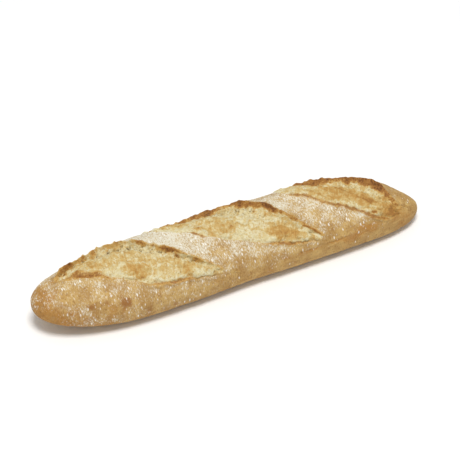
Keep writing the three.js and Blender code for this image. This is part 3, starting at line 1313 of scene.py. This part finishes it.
    def open_cuts(self, layers: Layers) -> None:
        """Open every cut; each place takes its colours from the cut that is nearest.

        Args:
            layers: The surface being worked.
        """
        nearest = np.full(layers.w.shape, FAR_AWAY)
        for number, cut in enumerate(self.cuts):
            half_girth = self.body.half_girth
            opening = Opening(cut, self.make, layers.x, layers.w, layers.base, half_girth)
            layers.rise = layers.rise + opening.rise()
            lean = opening.ear_lean()
            layers.leaned_x = layers.leaned_x - lean * opening.far[0]
            layers.leaned_w = layers.leaned_w - lean * opening.far[1]
            masks = opening.masks()
            for mask in (Mask.CRUMB, Mask.TOAST_AND_SHADE, Mask.LIP, Mask.PORE_SHADE, Mask.CURD):
                layers.cover(mask, masks[mask])
            is_nearer = opening.nearness < nearest
            nearest = np.where(is_nearer, opening.nearness, nearest)
            layers.spill = np.where(is_nearer, opening.spilt_flour(), layers.spill)
            for mask in (Mask.SHARE, Mask.BROWN):
                layers.masks[mask] = np.where(is_nearer, masks[mask], layers.masks[mask])
            layers.pull[is_nearer] = opening.pull(number)[is_nearer]

    def mark_crust(self, layers: Layers) -> None:
        """Add the lip's flaps, the crease, the marks, the frays and the browned patches.

        Args:
            layers: The surface being worked.
        """
        flap = sum(rough.fine(layers.base) for rough in self.make.lip.flap)
        crease = self.crease.share(layers.x, layers.w)
        layers.rise = layers.rise + flap * layers.masks[Mask.LIP] - self.crease.depth * crease
        for mark in self.marks:
            share = mark.share(layers.x, layers.w)
            layers.rise = layers.rise + mark.rise * share
            # in hollows and folds this darkening is partly painted shade
            layers.cover(Mask.TOAST_AND_SHADE, mark.heat * share)
        for fray in self.frays:
            fray.pull_apart(layers)
        for patch in self.brownings:
            browner = patch.amount_at(layers.x, layers.w)
            layers.masks[Mask.BROWN] = layers.masks[Mask.BROWN] + browner

    def roughen(self, layers: Layers) -> None:
        """Pebble the bare crust and raise its blisters.

        Args:
            layers: The surface being worked.
        """
        masks, pebbles = layers.masks, self.pebbles
        bare = 1.0 - masks[Mask.CRUMB]
        masks[Mask.UNDER] = self.underside.at(np.abs(layers.w))
        smooth = 1.0 - pebbles.smoother * masks[Mask.UNDER]
        fields = pebbles.fields(layers.base)
        for kind, height in zip(pebbles.kinds, fields):
            layers.rise = layers.rise + kind.strength * height * bare * smooth
        seen = sum(weight * height for weight, height in zip(pebbles.weights, fields))
        masks[Mask.GRAIN] = 0.5 + 0.5 * np.clip(seen, -1.0, 1.0)
        for blister in self.blisters:
            share = blister.share(layers.x, layers.w)
            layers.rise = layers.rise + blister.rise * share
            layers.cover(Mask.BLISTER, blister.brown * share)

    def flour(self, layers: Layers) -> Array:
        """How thickly flour lies, from bare to white.

        Args:
            layers: The surface being worked.

        Returns:
            The amount at each point.
        """
        x, w, masks = layers.x, layers.w, layers.masks
        amount = self.sifting.amount_at(x, w)
        amount = amount + sum(patch.amount_at(x, w) for patch in self.dustings)
        amount = np.clip(amount, 0.0, self.sifting.most)
        blistered = np.clip(masks[Mask.BLISTER], 0.0, 1.0)
        bared = (1.0 - masks[Mask.UNDER]) * (1.0 - self.blister_bares * blistered)
        return amount * bared * (1.0 - masks[Mask.CRUMB] * (1.0 - layers.spill))

    def bake(self, layers: Layers) -> Array:
        """How much browner than usual the bare crust is drawn: baked patches, the fold, and darker
        towards the lower flank.

        Args:
            layers: The surface being worked.

        Returns:
            The extra browning at each point.
        """
        x, w = layers.x, layers.w
        baked = self.crease.bake * self.crease.share(x, w)
        baked = baked + sum(patch.amount_at(x, w) for patch in self.bakes)
        return baked + self.flank_darkening * self.flank.at(w)

    def skin(self, x: Array, w: Array) -> Skin:
        """Work out the finished surface.

        Args:
            x: Place along the loaf.
            w: Girth distance from the crown.

        Returns:
            Points in millimetres with the masks of their finishes.
        """
        layers = self.plain_layers(x, w)
        self.open_cuts(layers)
        self.mark_crust(layers)
        self.roughen(layers)
        leaned = (layers.leaned_x, layers.leaned_w)
        points = self.body.crust(*leaned) + self.body.outward(*leaned) * layers.rise[..., None]
        points[..., 2] = np.maximum(points[..., 2], 0.0)
        layers.masks[Mask.FLOUR] = self.flour(layers)
        layers.masks[Mask.BAKE] = self.bake(layers)
        return Skin(points, layers.masks, layers.pull)

    # -- the piece --

    def build(self) -> bpy.types.Object:
        """Draw a ball out into the loaf.

        Returns:
            The loaf as one closed object at the origin.
        """
        plan = self.plan
        bm = bmesh.new()
        bmesh.ops.create_uvsphere(bm, u_segments=plan.rows, v_segments=plan.rings, radius=1.0)
        ball = np.array([vert.co for vert in bm.verts])
        ring = np.rint(np.arccos(np.clip(ball[:, 2], -1.0, 1.0)) / math.pi * plan.rings).astype(int)
        ring = plan.rings - ring
        turn = np.arctan2(ball[:, 1], ball[:, 0]) / (2.0 * math.pi)
        row = np.rint(turn * plan.rows).astype(int) % plan.rows
        rings = self.stations()
        w = self.girths(rings)[ring, row]
        w[(ring == 0) | (ring == plan.rings)] = 0.0
        skin = self.skin(self.leaned(rings[ring], w), w)
        points = self.fitted(skin.points)
        for vert, point in zip(bm.verts, points):
            vert.co = point
        bmesh.ops.recalc_face_normals(bm, faces=bm.faces)
        for face in bm.faces:
            face.smooth = True
        mesh = bpy.data.meshes.new("loaf_crust")
        bm.to_mesh(mesh)
        bm.free()
        for mask, values in skin.masks.items():
            layer = mesh.attributes.new(mask.value, "FLOAT", "POINT")
            layer.data.foreach_set("value", values.astype(np.float32))
        pull = mesh.attributes.new("pull", "FLOAT_VECTOR", "POINT")
        pull.data.foreach_set("vector", skin.pull.astype(np.float32).ravel())
        loaf = bpy.data.objects.new("loaf_crust", mesh)
        bpy.context.scene.collection.objects.link(loaf)
        self.pieces.append(loaf)
        return loaf

    def fitted(self, points: Array) -> Array:
        """The points in metres, stood in the solid's own box."""
        low, high = (np.array(corner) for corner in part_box("baguette"))
        share = (points - points.min(axis=0)) / (points.max(axis=0) - points.min(axis=0))
        return low + share * (high - low)

    def dress(self, crust: bpy.types.Material) -> None:
        """Give the loaf its crust and hang it on the part's body.

        Args:
            crust: The finished crust material.
        """
        for piece in self.pieces:
            piece.data.materials.append(crust)
            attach(piece, "root")
            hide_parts("baguette")


# ---- finishes ----


def linear(colour: Colour) -> tuple[float, float, float, float]:
    """A colour of 0 to 255 as the shader's own light values."""
    shares = [channel / 255.0 for channel in colour]
    parts = [c / 12.92 if c <= 0.04045 else ((c + 0.055) / 1.055) ** 2.4 for c in shares]
    return (parts[0], parts[1], parts[2], 1.0)


@dataclass(frozen=True)
class Clouds:
    """One kind of cloudy unevenness: its size in millimetres and how finely it is broken up."""

    size: float
    detail: float = 2.0
    rough: float = 0.5
    warp: float = 0.0
    shift: Triple = (0.0, 0.0, 0.0)
    scale: Triple = (1.0, 1.0, 1.0)
    follows_cut: bool = False


@dataclass(frozen=True)
class Specks:
    """One kind of scattered specks: how far apart they lie and how thickly they cover."""

    size: float
    cover: float
    shift: Triple
    scale: Triple = (1.0, 1.0, 1.0)
    edge: Pair = (0.5, 0.2)


@dataclass(frozen=True)
class Coat:
    """One colour of a finish: from where it shows, where it is full and how thickly it covers."""

    colour: Colour
    start: float
    full: float
    cover: float = 1.0


class Bench:
    """A tidy way to lay out shader nodes."""

    stretch: ClassVar[float] = 2.8
    lowered: ClassVar[float] = -0.9

    def __init__(self, tree: bpy.types.NodeTree) -> None:
        """Take hold of an empty node tree and lay out the loaf's coordinates in millimetres."""
        self.tree = tree
        metres = self.node("ShaderNodeTexCoord").outputs["Object"]
        self.place = self.moved(metres, (MM_IN_METRE,) * 3)
        self.pull = self.node("ShaderNodeAttribute", attribute_name="pull").outputs["Vector"]

    def node(self, kind: str, **settings: object) -> bpy.types.Node:
        """Add a node with its settings."""
        made = self.tree.nodes.new(kind)
        for name, value in settings.items():
            setattr(made, name, value)
        return made

    def join(self, source: Socket, target: Socket) -> None:
        """Link two sockets."""
        self.tree.links.new(source, target)

    def give(self, target: Socket, value: object) -> None:
        """Set an input to a number, or link it to another socket."""
        if isinstance(value, Socket):
            self.join(value, target)
        else:
            target.default_value = value

    def feed(self, node: bpy.types.Node, **values: object) -> None:
        """Set a node's inputs, each to a number or to another socket.

        Args:
            node: The node.
            values: The value for each input, by the input's name with _ for its spaces.
        """
        for name, value in values.items():
            self.give(node.inputs[name.replace("_", " ")], value)

    def mask(self, mask: Mask) -> Socket:
        """Read one of the loaf's masks."""
        return self.node("ShaderNodeAttribute", attribute_name=mask.value).outputs["Fac"]

    def moved(self, place: Socket, scale: Triple, shift: Triple = (0.0, 0.0, 0.0)) -> Socket:
        """Scale and shift coordinates."""
        mapping = self.node("ShaderNodeMapping")
        self.feed(mapping, Vector=place, Scale=scale, Location=shift)
        return mapping.outputs["Vector"]

    def noise(self, clouds: Clouds) -> Socket:
        """Clouds that keep near their middle, between 0 and 1."""
        made = self.node("ShaderNodeTexNoise")
        place = self.pull if clouds.follows_cut else self.place
        moved = self.moved(place, clouds.scale, clouds.shift)
        self.feed(made, Vector=moved, Scale=1.0 / clouds.size, Detail=clouds.detail)
        self.feed(made, Roughness=clouds.rough, Distortion=clouds.warp)
        return made.outputs["Fac"]

    def clouds(self, clouds: Clouds) -> Socket:
        """Clouds stretched so that they reach from about 0 to 1."""
        return self.add(self.noise(clouds), self.stretch, self.lowered)

    def specks(self, specks: Specks) -> tuple[Socket, Socket]:
        """Scattered specks: how much of one lies at each place, and a number of its own."""
        made = self.node("ShaderNodeTexVoronoi")
        moved = self.moved(self.place, specks.scale, specks.shift)
        self.feed(made, Vector=moved, Scale=1.0 / specks.size)
        split = self.node("ShaderNodeSeparateColor")
        self.join(made.outputs["Color"], split.inputs["Color"])
        return self.span(made.outputs["Distance"], *specks.edge), split.outputs["Red"]

    def span(self, value: Socket, start: object, full: object) -> Socket:
        """Ease a value from 0 at its start to 1 where it is full."""
        made = self.node("ShaderNodeMapRange", interpolation_type="SMOOTHSTEP")
        self.feed(made, Value=value, From_Min=start, From_Max=full)
        return made.outputs["Result"]

    def reckon(self, operation: str, *values: object) -> Socket:
        """Work out one sum of two or three values."""
        made = self.node("ShaderNodeMath", operation=operation)
        for target, value in zip(made.inputs, values):
            self.give(target, value)
        return made.outputs[0]

    def add(self, value: Socket, times: float, onto: object) -> Socket:
        """Add a value, so many times over, onto another."""
        return self.reckon("MULTIPLY_ADD", value, times, onto)

    def times(self, first: Socket, second: object) -> Socket:
        """Multiply two values."""
        return self.reckon("MULTIPLY", first, second)

    def larger(self, first: Socket, second: object) -> Socket:
        """Take the larger of two values."""
        return self.reckon("MAXIMUM", first, second)

    def blend(self, share: Socket, under: object, over: object) -> Socket:
        """Lay one colour over another.

        Args:
            share: How much of the upper colour shows.
            under: The lower colour.
            over: The upper colour.

        Returns:
            The socket of the mixed colour.
        """
        made = self.node("ShaderNodeMix", data_type="RGBA")
        factor, lower, upper = made.inputs[0], made.inputs[6], made.inputs[7]
        self.join(share, factor)
        for target, value in ((lower, under), (upper, over)):
            self.give(target, linear(value) if isinstance(value, tuple) else value)
        return made.outputs[2]

    def coat(self, value: Socket, coat: Coat, under: object, where: object = 1.0) -> Socket:
        """Lay one coat over a colour.

        Args:
            value: What brings the coat out.
            coat: The coat.
            under: The colour below it.
            where: Share of the coat that may show at each place.

        Returns:
            The socket of the coated colour.
        """
        share = self.times(self.span(value, coat.start, coat.full), where)
        return self.blend(self.times(share, coat.cover), under, coat.colour)


AROUND = (1.0, 0.42, 0.42)


@dataclass(frozen=True)
class BareCrust:
    """The baked crust without its flour: golden, mottled, brown where it blistered, with streaks of
    painted sheen where it is bare.
    """

    tan: Colour = (177, 140, 82)
    gold: Coat = Coat((197, 162, 99), 0.2, 0.8)
    broad: Clouds = Clouds(11.0, 3.0)
    amber: Coat = Coat((176, 126, 60), 0.0, 0.7)
    patches: Clouds = Clouds(7.0, 5.0, 0.7, 0.3, (13.0, 29.0, 5.0))
    rosy: Coat = Coat((180, 143, 93), 0.6, 1.1, 0.4)
    pink: Clouds = Clouds(8.0, 2.0, shift=(31.0, 7.0, 3.0))
    stroke: Coat = Coat((144, 101, 50), 0.8, 0.25)
    strokes: Clouds = Clouds(0.75, 3.0, 0.65, scale=AROUND)
    # painted sheen: golden highlight streaks along the bare crust
    painted_sheen: Coat = Coat((212, 174, 108), 0.5, 1.1, 0.45)
    drawn: Clouds = Clouds(2.4, 3.0, 0.6, shift=(3.0, 8.0, 2.0), scale=(0.2, 1.0, 1.0))
    bare: Pair = (0.45, 0.1)
    underside: float = 0.4
    blister: Coat = Coat((145, 93, 42), 0.2, 1.1, 0.85)

    def colour(self, b: Bench) -> Socket:
        """Lay the colours of the bare crust.

        Args:
            b: The bench that the nodes are laid out on.

        Returns:
            The socket of the colour.
        """
        flour = b.mask(Mask.FLOUR)
        patches, strokes = b.clouds(self.patches), b.clouds(self.strokes)
        base = b.coat(b.clouds(self.broad), self.gold, self.tan)
        baked = b.add(patches, 0.7, b.add(b.mask(Mask.BAKE), 0.9, -0.5))
        base = b.coat(baked, self.amber, base)
        base = b.coat(b.clouds(self.pink), self.rosy, base)
        low = b.add(b.mask(Mask.GRAIN), 0.5, strokes)
        base = b.coat(low, self.stroke, base, b.add(flour, -0.5, 0.85))
        # painted sheen in streaks where no flour lies
        base = b.coat(b.clouds(self.drawn), self.painted_sheen, base, b.span(flour, *self.bare))
        base = b.blend(b.times(b.mask(Mask.UNDER), self.underside), base, self.tan)
        ragged = b.add(strokes, 0.45, b.add(patches, 0.6, -0.5))
        return b.coat(b.add(b.mask(Mask.BLISTER), 1.0, ragged), self.blister, base)


@dataclass(frozen=True)
class Flour:
    """Flour baked onto the crust: a thin veil, fine strokes, a few clumps and loose grains."""

    veil: Coat = Coat((209, 196, 156), 0.25, 0.95, 0.25)
    white: Colour = (230, 227, 209)
    flecks: Clouds = Clouds(0.7, 3.0, 0.65, shift=(5.0, 17.0, 9.0), scale=AROUND)
    least_start: float = 0.3
    fleck_edge: float = 0.38
    clump: Colour = (244, 241, 230)
    clumps: Specks = Specks(1.3, 0.85, (2.0, 4.0, 8.0), AROUND)
    clump_edge: Pair = (0.0, 0.2)
    rarest: float = 1.02
    grains: Specks = Specks(0.85, 0.5, (9.0, 6.0, 3.0), AROUND)

    def lay(self, b: Bench, bare: Socket) -> Socket:
        """Lay the flour over the bare colours.

        Args:
            b: The bench that the nodes are laid out on.
            bare: The colours below the flour.

        Returns:
            The socket of the floured colour.
        """
        amount = b.mask(Mask.FLOUR)
        base = b.coat(amount, self.veil, bare)
        caught = b.add(b.mask(Mask.GRAIN), 0.3, b.clouds(self.flecks))
        start = b.larger(b.add(amount, -1.1, 1.15), self.least_start)
        white = b.span(caught, start, b.reckon("ADD", start, self.fleck_edge))
        base = b.blend(b.times(white, b.add(amount, 0.55, 0.27)), base, self.white)
        lying, own = b.specks(self.clumps)
        rare = b.span(own, b.add(amount, -0.4, self.rarest), self.rarest)
        clumps = b.times(lying, b.span(rare, *self.clump_edge))
        base = b.blend(b.times(clumps, self.clumps.cover), base, self.clump)
        lying, own = b.specks(self.grains)
        often = b.span(own, b.add(amount, -0.5, 1.0), b.add(amount, -0.5, 1.1))
        return b.blend(b.times(b.times(lying, often), self.grains.cover), base, self.clump)


@dataclass(frozen=True)
class Crumb:
    """The torn dough in the cuts: cream, with golden to brown stains, and small crevices darkened
    with painted shade.
    """

    pale: Colour = (211, 195, 146)
    cream: Coat = Coat((219, 210, 174), 0.35, 0.75)
    cloud: Clouds = Clouds(2.6, 4.0, 0.65, 0.4)
    from_lip: Pair = (0.03, 0.25)
    from_ear: Pair = (1.0, 0.72)
    stains: Clouds = Clouds(3.6, 5.0, 0.72, 0.6, (9.0, 2.0, 6.0))
    streaks: Clouds = Clouds(1.2, 3.0, 0.6, scale=(1.0, 0.3, 1.0), follows_cut=True)
    gold: Coat = Coat((199, 168, 103), 0.66, 1.0, 0.9)
    toast: Coat = Coat((184, 138, 68), 0.98, 1.3, 0.9)
    brown: Coat = Coat((156, 108, 50), 1.3, 1.65, 0.9)
    dots: Specks = Specks(1.7, 0.6, (6.0, 3.0, 1.0))
    dot_edge: Pair = (0.0, 0.3)
    rarest: float = 1.05
    # painted shade in the small crevices of the crumb
    pit_shade: Coat = Coat((152, 126, 80), 0.3, 0.0, 0.65)
    pits: Clouds = Clouds(0.9, 3.0, 0.65)

    def heat(self, b: Bench) -> Socket:
        """How much heat the dough caught: less along its edges and on its curds."""
        share = b.mask(Mask.SHARE)
        middle = b.times(b.span(share, *self.from_lip), b.span(share, *self.from_ear))
        heat = b.add(b.mask(Mask.BROWN), 0.5, b.times(middle, 0.2))
        return b.add(b.mask(Mask.CURD), -0.5, heat)

    def colour(self, b: Bench) -> Socket:
        """Lay the colours of the torn dough.

        Args:
            b: The bench that the nodes are laid out on.

        Returns:
            The socket of the colour.
        """
        heat = self.heat(b)
        colour = b.coat(b.clouds(self.cloud), self.cream, self.pale)
        caught = b.add(b.clouds(self.streaks), 0.32, heat)
        caught = b.add(b.clouds(self.stains), 0.55, caught)
        for coat in (self.gold, self.toast, self.brown):
            colour = b.coat(caught, coat, colour)
        lying, own = b.specks(self.dots)
        rare = b.span(own, b.add(heat, -0.5, 1.0), self.rarest)
        dots = b.times(lying, b.span(rare, *self.dot_edge))
        colour = b.blend(b.times(dots, self.dots.cover), colour, self.toast.colour)
        # painted shade in small crevices scattered over the crumb
        return b.coat(b.clouds(self.pits), self.pit_shade, colour)


@dataclass(frozen=True)
class Toast:
    """The toasted ears and lips, darker where the heat was stronger."""

    light: Colour = (195, 155, 86)
    brown: Coat = Coat((158, 108, 49), 0.6, 1.0)
    dark: Coat = Coat((112, 69, 29), 1.1, 1.5)
    grainy: Clouds = Clouds(1.2, 4.0, 0.7, shift=(3.0, 5.0, 1.0))
    blotches: Clouds = Clouds(3.6, 2.0, shift=(8.0, 1.0, 6.0))
    milder: float = -0.34
    lip_share: float = 0.9
    ear_edge: Pair = (0.12, 0.45)
    lip_edge: Pair = (0.3, 0.7)

    def colour(self, b: Bench) -> Socket:
        """Lay the colours of the toasted crust.

        Args:
            b: The bench that the nodes are laid out on.

        Returns:
            The socket of the colour.
        """
        heat = b.larger(b.mask(Mask.TOAST_AND_SHADE), b.times(b.mask(Mask.LIP), self.lip_share))
        caught = b.add(b.clouds(self.blotches), 0.4, heat)
        caught = b.add(b.clouds(self.grainy), 0.75, caught)
        caught = b.reckon("ADD", caught, self.milder)
        return b.coat(caught, self.dark, b.coat(caught, self.brown, self.light))

    def lay(self, b: Bench, wobble: Socket, under: Socket) -> Socket:
        """Lay the toast over the ears and lips, with a wobbling edge.

        Args:
            b: The bench that the nodes are laid out on.
            wobble: Small numbers that make the edge wobble.
            under: The colours below the toast.

        Returns:
            The socket of the toasted colour.
        """
        ears = b.span(b.add(wobble, 1.2, b.mask(Mask.TOAST_AND_SHADE)), *self.ear_edge)
        lips = b.span(b.reckon("ADD", b.mask(Mask.LIP), wobble), *self.lip_edge)
        share = b.larger(ears, b.times(lips, self.lip_share))
        return b.blend(share, under, self.colour(b))


@dataclass(frozen=True)
class CrustFinish:
    """Baked crust with flour on it, torn crumb in the cuts and toast on the ears, with painted
    shade in pores, hollows and crevices and painted sheen on the bare crust.
    """

    bare: BareCrust = BareCrust()
    flour: Flour = Flour()
    crumb: Crumb = Crumb()
    toast: Toast = Toast()
    edges: Clouds = Clouds(1.7, 3.0, 0.6)
    crumb_edge: Pair = (0.4, 0.6)
    holes: Clouds = Clouds(1.2, 3.0, 0.6, 0.6, (7.0, 1.0, 4.0), (0.8, 1.0, 1.0), True)
    # painted shade: the hollows and the pores darkened in colour
    hollow: Coat = Coat((152, 126, 80), 0.85, 1.2, 0.45)
    pore_shade: Coat = Coat((98, 78, 44), 1.2, 1.5, 0.75)
    fine_grain: Clouds = Clouds(0.9, 3.0, 0.6)
    coarse_grain: Clouds = Clouds(2.4, 2.0)
    coarse_share: float = 1.2
    grain_strength: float = 0.6
    grain_height: float = 0.0004
    roughness: float = 0.72
    gloss: float = 0.3

    def colour(self, b: Bench) -> Socket:
        """Lay every colour of the loaf over one another.

        Args:
            b: The bench that the nodes are laid out on.

        Returns:
            The socket of the colour.
        """
        wobble = b.add(b.clouds(self.edges), 0.3, -0.15)
        is_crumb = b.span(b.reckon("ADD", b.mask(Mask.CRUMB), wobble), *self.crumb_edge)
        colour = b.blend(is_crumb, self.bare.colour(b), self.crumb.colour(b))
        colour = self.flour.lay(b, colour)
        colour = self.toast.lay(b, wobble, colour)
        # painted shade in the pores, the gully and the folds
        opened = b.add(b.mask(Mask.PORE_SHADE), 0.9, b.clouds(self.holes))
        return b.coat(opened, self.pore_shade, b.coat(opened, self.hollow, colour))

    def relief(self, b: Bench) -> Socket:
        """Raise the finest grain of the crust.

        Args:
            b: The bench that the nodes are laid out on.

        Returns:
            The socket of the normals.
        """
        coarse = b.times(b.noise(self.coarse_grain), self.coarse_share)
        height = b.reckon("ADD", b.noise(self.fine_grain), coarse)
        bump_node = b.node("ShaderNodeBump")
        b.feed(bump_node, Height=height, Strength=self.grain_strength, Distance=self.grain_height)
        return bump_node.outputs["Normal"]

    def build(self) -> bpy.types.Material:
        """Lay out the whole crust.

        Returns:
            The material.
        """
        material = bpy.data.materials.new("baked_crust")
        material.use_nodes = True
        material.node_tree.nodes.clear()
        b = Bench(material.node_tree)
        shader = b.node("ShaderNodeBsdfPrincipled")
        b.feed(shader, Base_Color=self.colour(b), Normal=self.relief(b))
        b.feed(shader, Roughness=self.roughness, Specular_IOR_Level=self.gloss)
        output = b.node("ShaderNodeOutputMaterial")
        b.join(shader.outputs["BSDF"], output.inputs["Surface"])
        return material


# ---- the studio ----


@dataclass(frozen=True)
class Studio:
    """A plain pale floor, soft light and the camera."""

    floor_colour: Colour = (250, 250, 249)
    floor_reach: float = 6.0
    floor_drop: float = 0.0002
    floor_roughness: float = 0.9
    sky: float = 0.5
    key_power: float = 32.0
    key_size: float = 0.7
    key_at: Triple = (-0.15, -0.45, 2.1)
    azimuth: float = -27.816
    elevation: float = 40.0
    distance: float = 1.2349
    aim: Triple = (0.007355, 0.010121, 0.020)
    lens: float = 139.05
    sensor: float = 36.0
    clip: Pair = (0.1, 20.0)

    def floor(self) -> bpy.types.Object:
        """Lay the floor just under the loaf."""
        bm = bmesh.new()
        bmesh.ops.create_grid(bm, x_segments=1, y_segments=1, size=self.floor_reach)
        bmesh.ops.translate(bm, verts=bm.verts, vec=(0.0, 0.0, -self.floor_drop))
        mesh = bpy.data.meshes.new("floor")
        bm.to_mesh(mesh)
        bm.free()
        plain = bpy.data.materials.new("plain_floor")
        plain.use_nodes = True
        shader = plain.node_tree.nodes["Principled BSDF"]
        shader.inputs["Base Color"].default_value = linear(self.floor_colour)
        shader.inputs["Roughness"].default_value = self.floor_roughness
        mesh.materials.append(plain)
        floor = bpy.data.objects.new("floor", mesh)
        bpy.context.scene.collection.objects.link(floor)
        return floor

    def light(self) -> None:
        """Hang one wide soft lamp in a bright even room."""
        world = bpy.data.worlds.new("room")
        world.use_nodes = True
        sky = world.node_tree.nodes["Background"]
        sky.inputs["Color"].default_value = (1.0, 1.0, 1.0, 1.0)
        sky.inputs["Strength"].default_value = self.sky
        bpy.context.scene.world = world
        lamp = bpy.data.lights.new("key", "AREA")
        lamp.energy = self.key_power
        lamp.size = self.key_size
        key = bpy.data.objects.new("key", lamp)
        key.location = self.key_at
        key.rotation_euler = (-Vector(self.key_at)).to_track_quat("-Z", "Y").to_euler()
        bpy.context.scene.collection.objects.link(key)

    def camera(self) -> None:
        """Stand the camera at its angle over the near side."""
        turn, height = math.radians(self.azimuth), math.radians(self.elevation)
        level = math.cos(height)
        back = Vector((math.sin(turn) * level, -math.cos(turn) * level, math.sin(height)))
        data = bpy.data.cameras.new("camera")
        data.lens = self.lens
        data.sensor_width = self.sensor
        data.clip_start, data.clip_end = self.clip
        camera = bpy.data.objects.new("camera", data)
        camera.location = Vector(self.aim) + back * self.distance
        camera.rotation_euler = (-back).to_track_quat("-Z", "Y").to_euler()
        bpy.context.scene.collection.objects.link(camera)
        bpy.context.scene.camera = camera
        bpy.context.scene.view_settings.view_transform = "Standard"


def main() -> None:
    """Build the loaf, dress it, and set up the studio."""
    logging.basicConfig(level=logging.INFO, format="%(message)s")
    baguette = Baguette()
    loaf = baguette.build()
    log.info("%s: %d faces", loaf.name, len(loaf.data.polygons))
    baguette.dress(CrustFinish().build())
    studio = Studio()
    studio.floor()
    studio.light()
    studio.camera()
    log.info("studio ready")


if __name__ == "__main__":
    main()
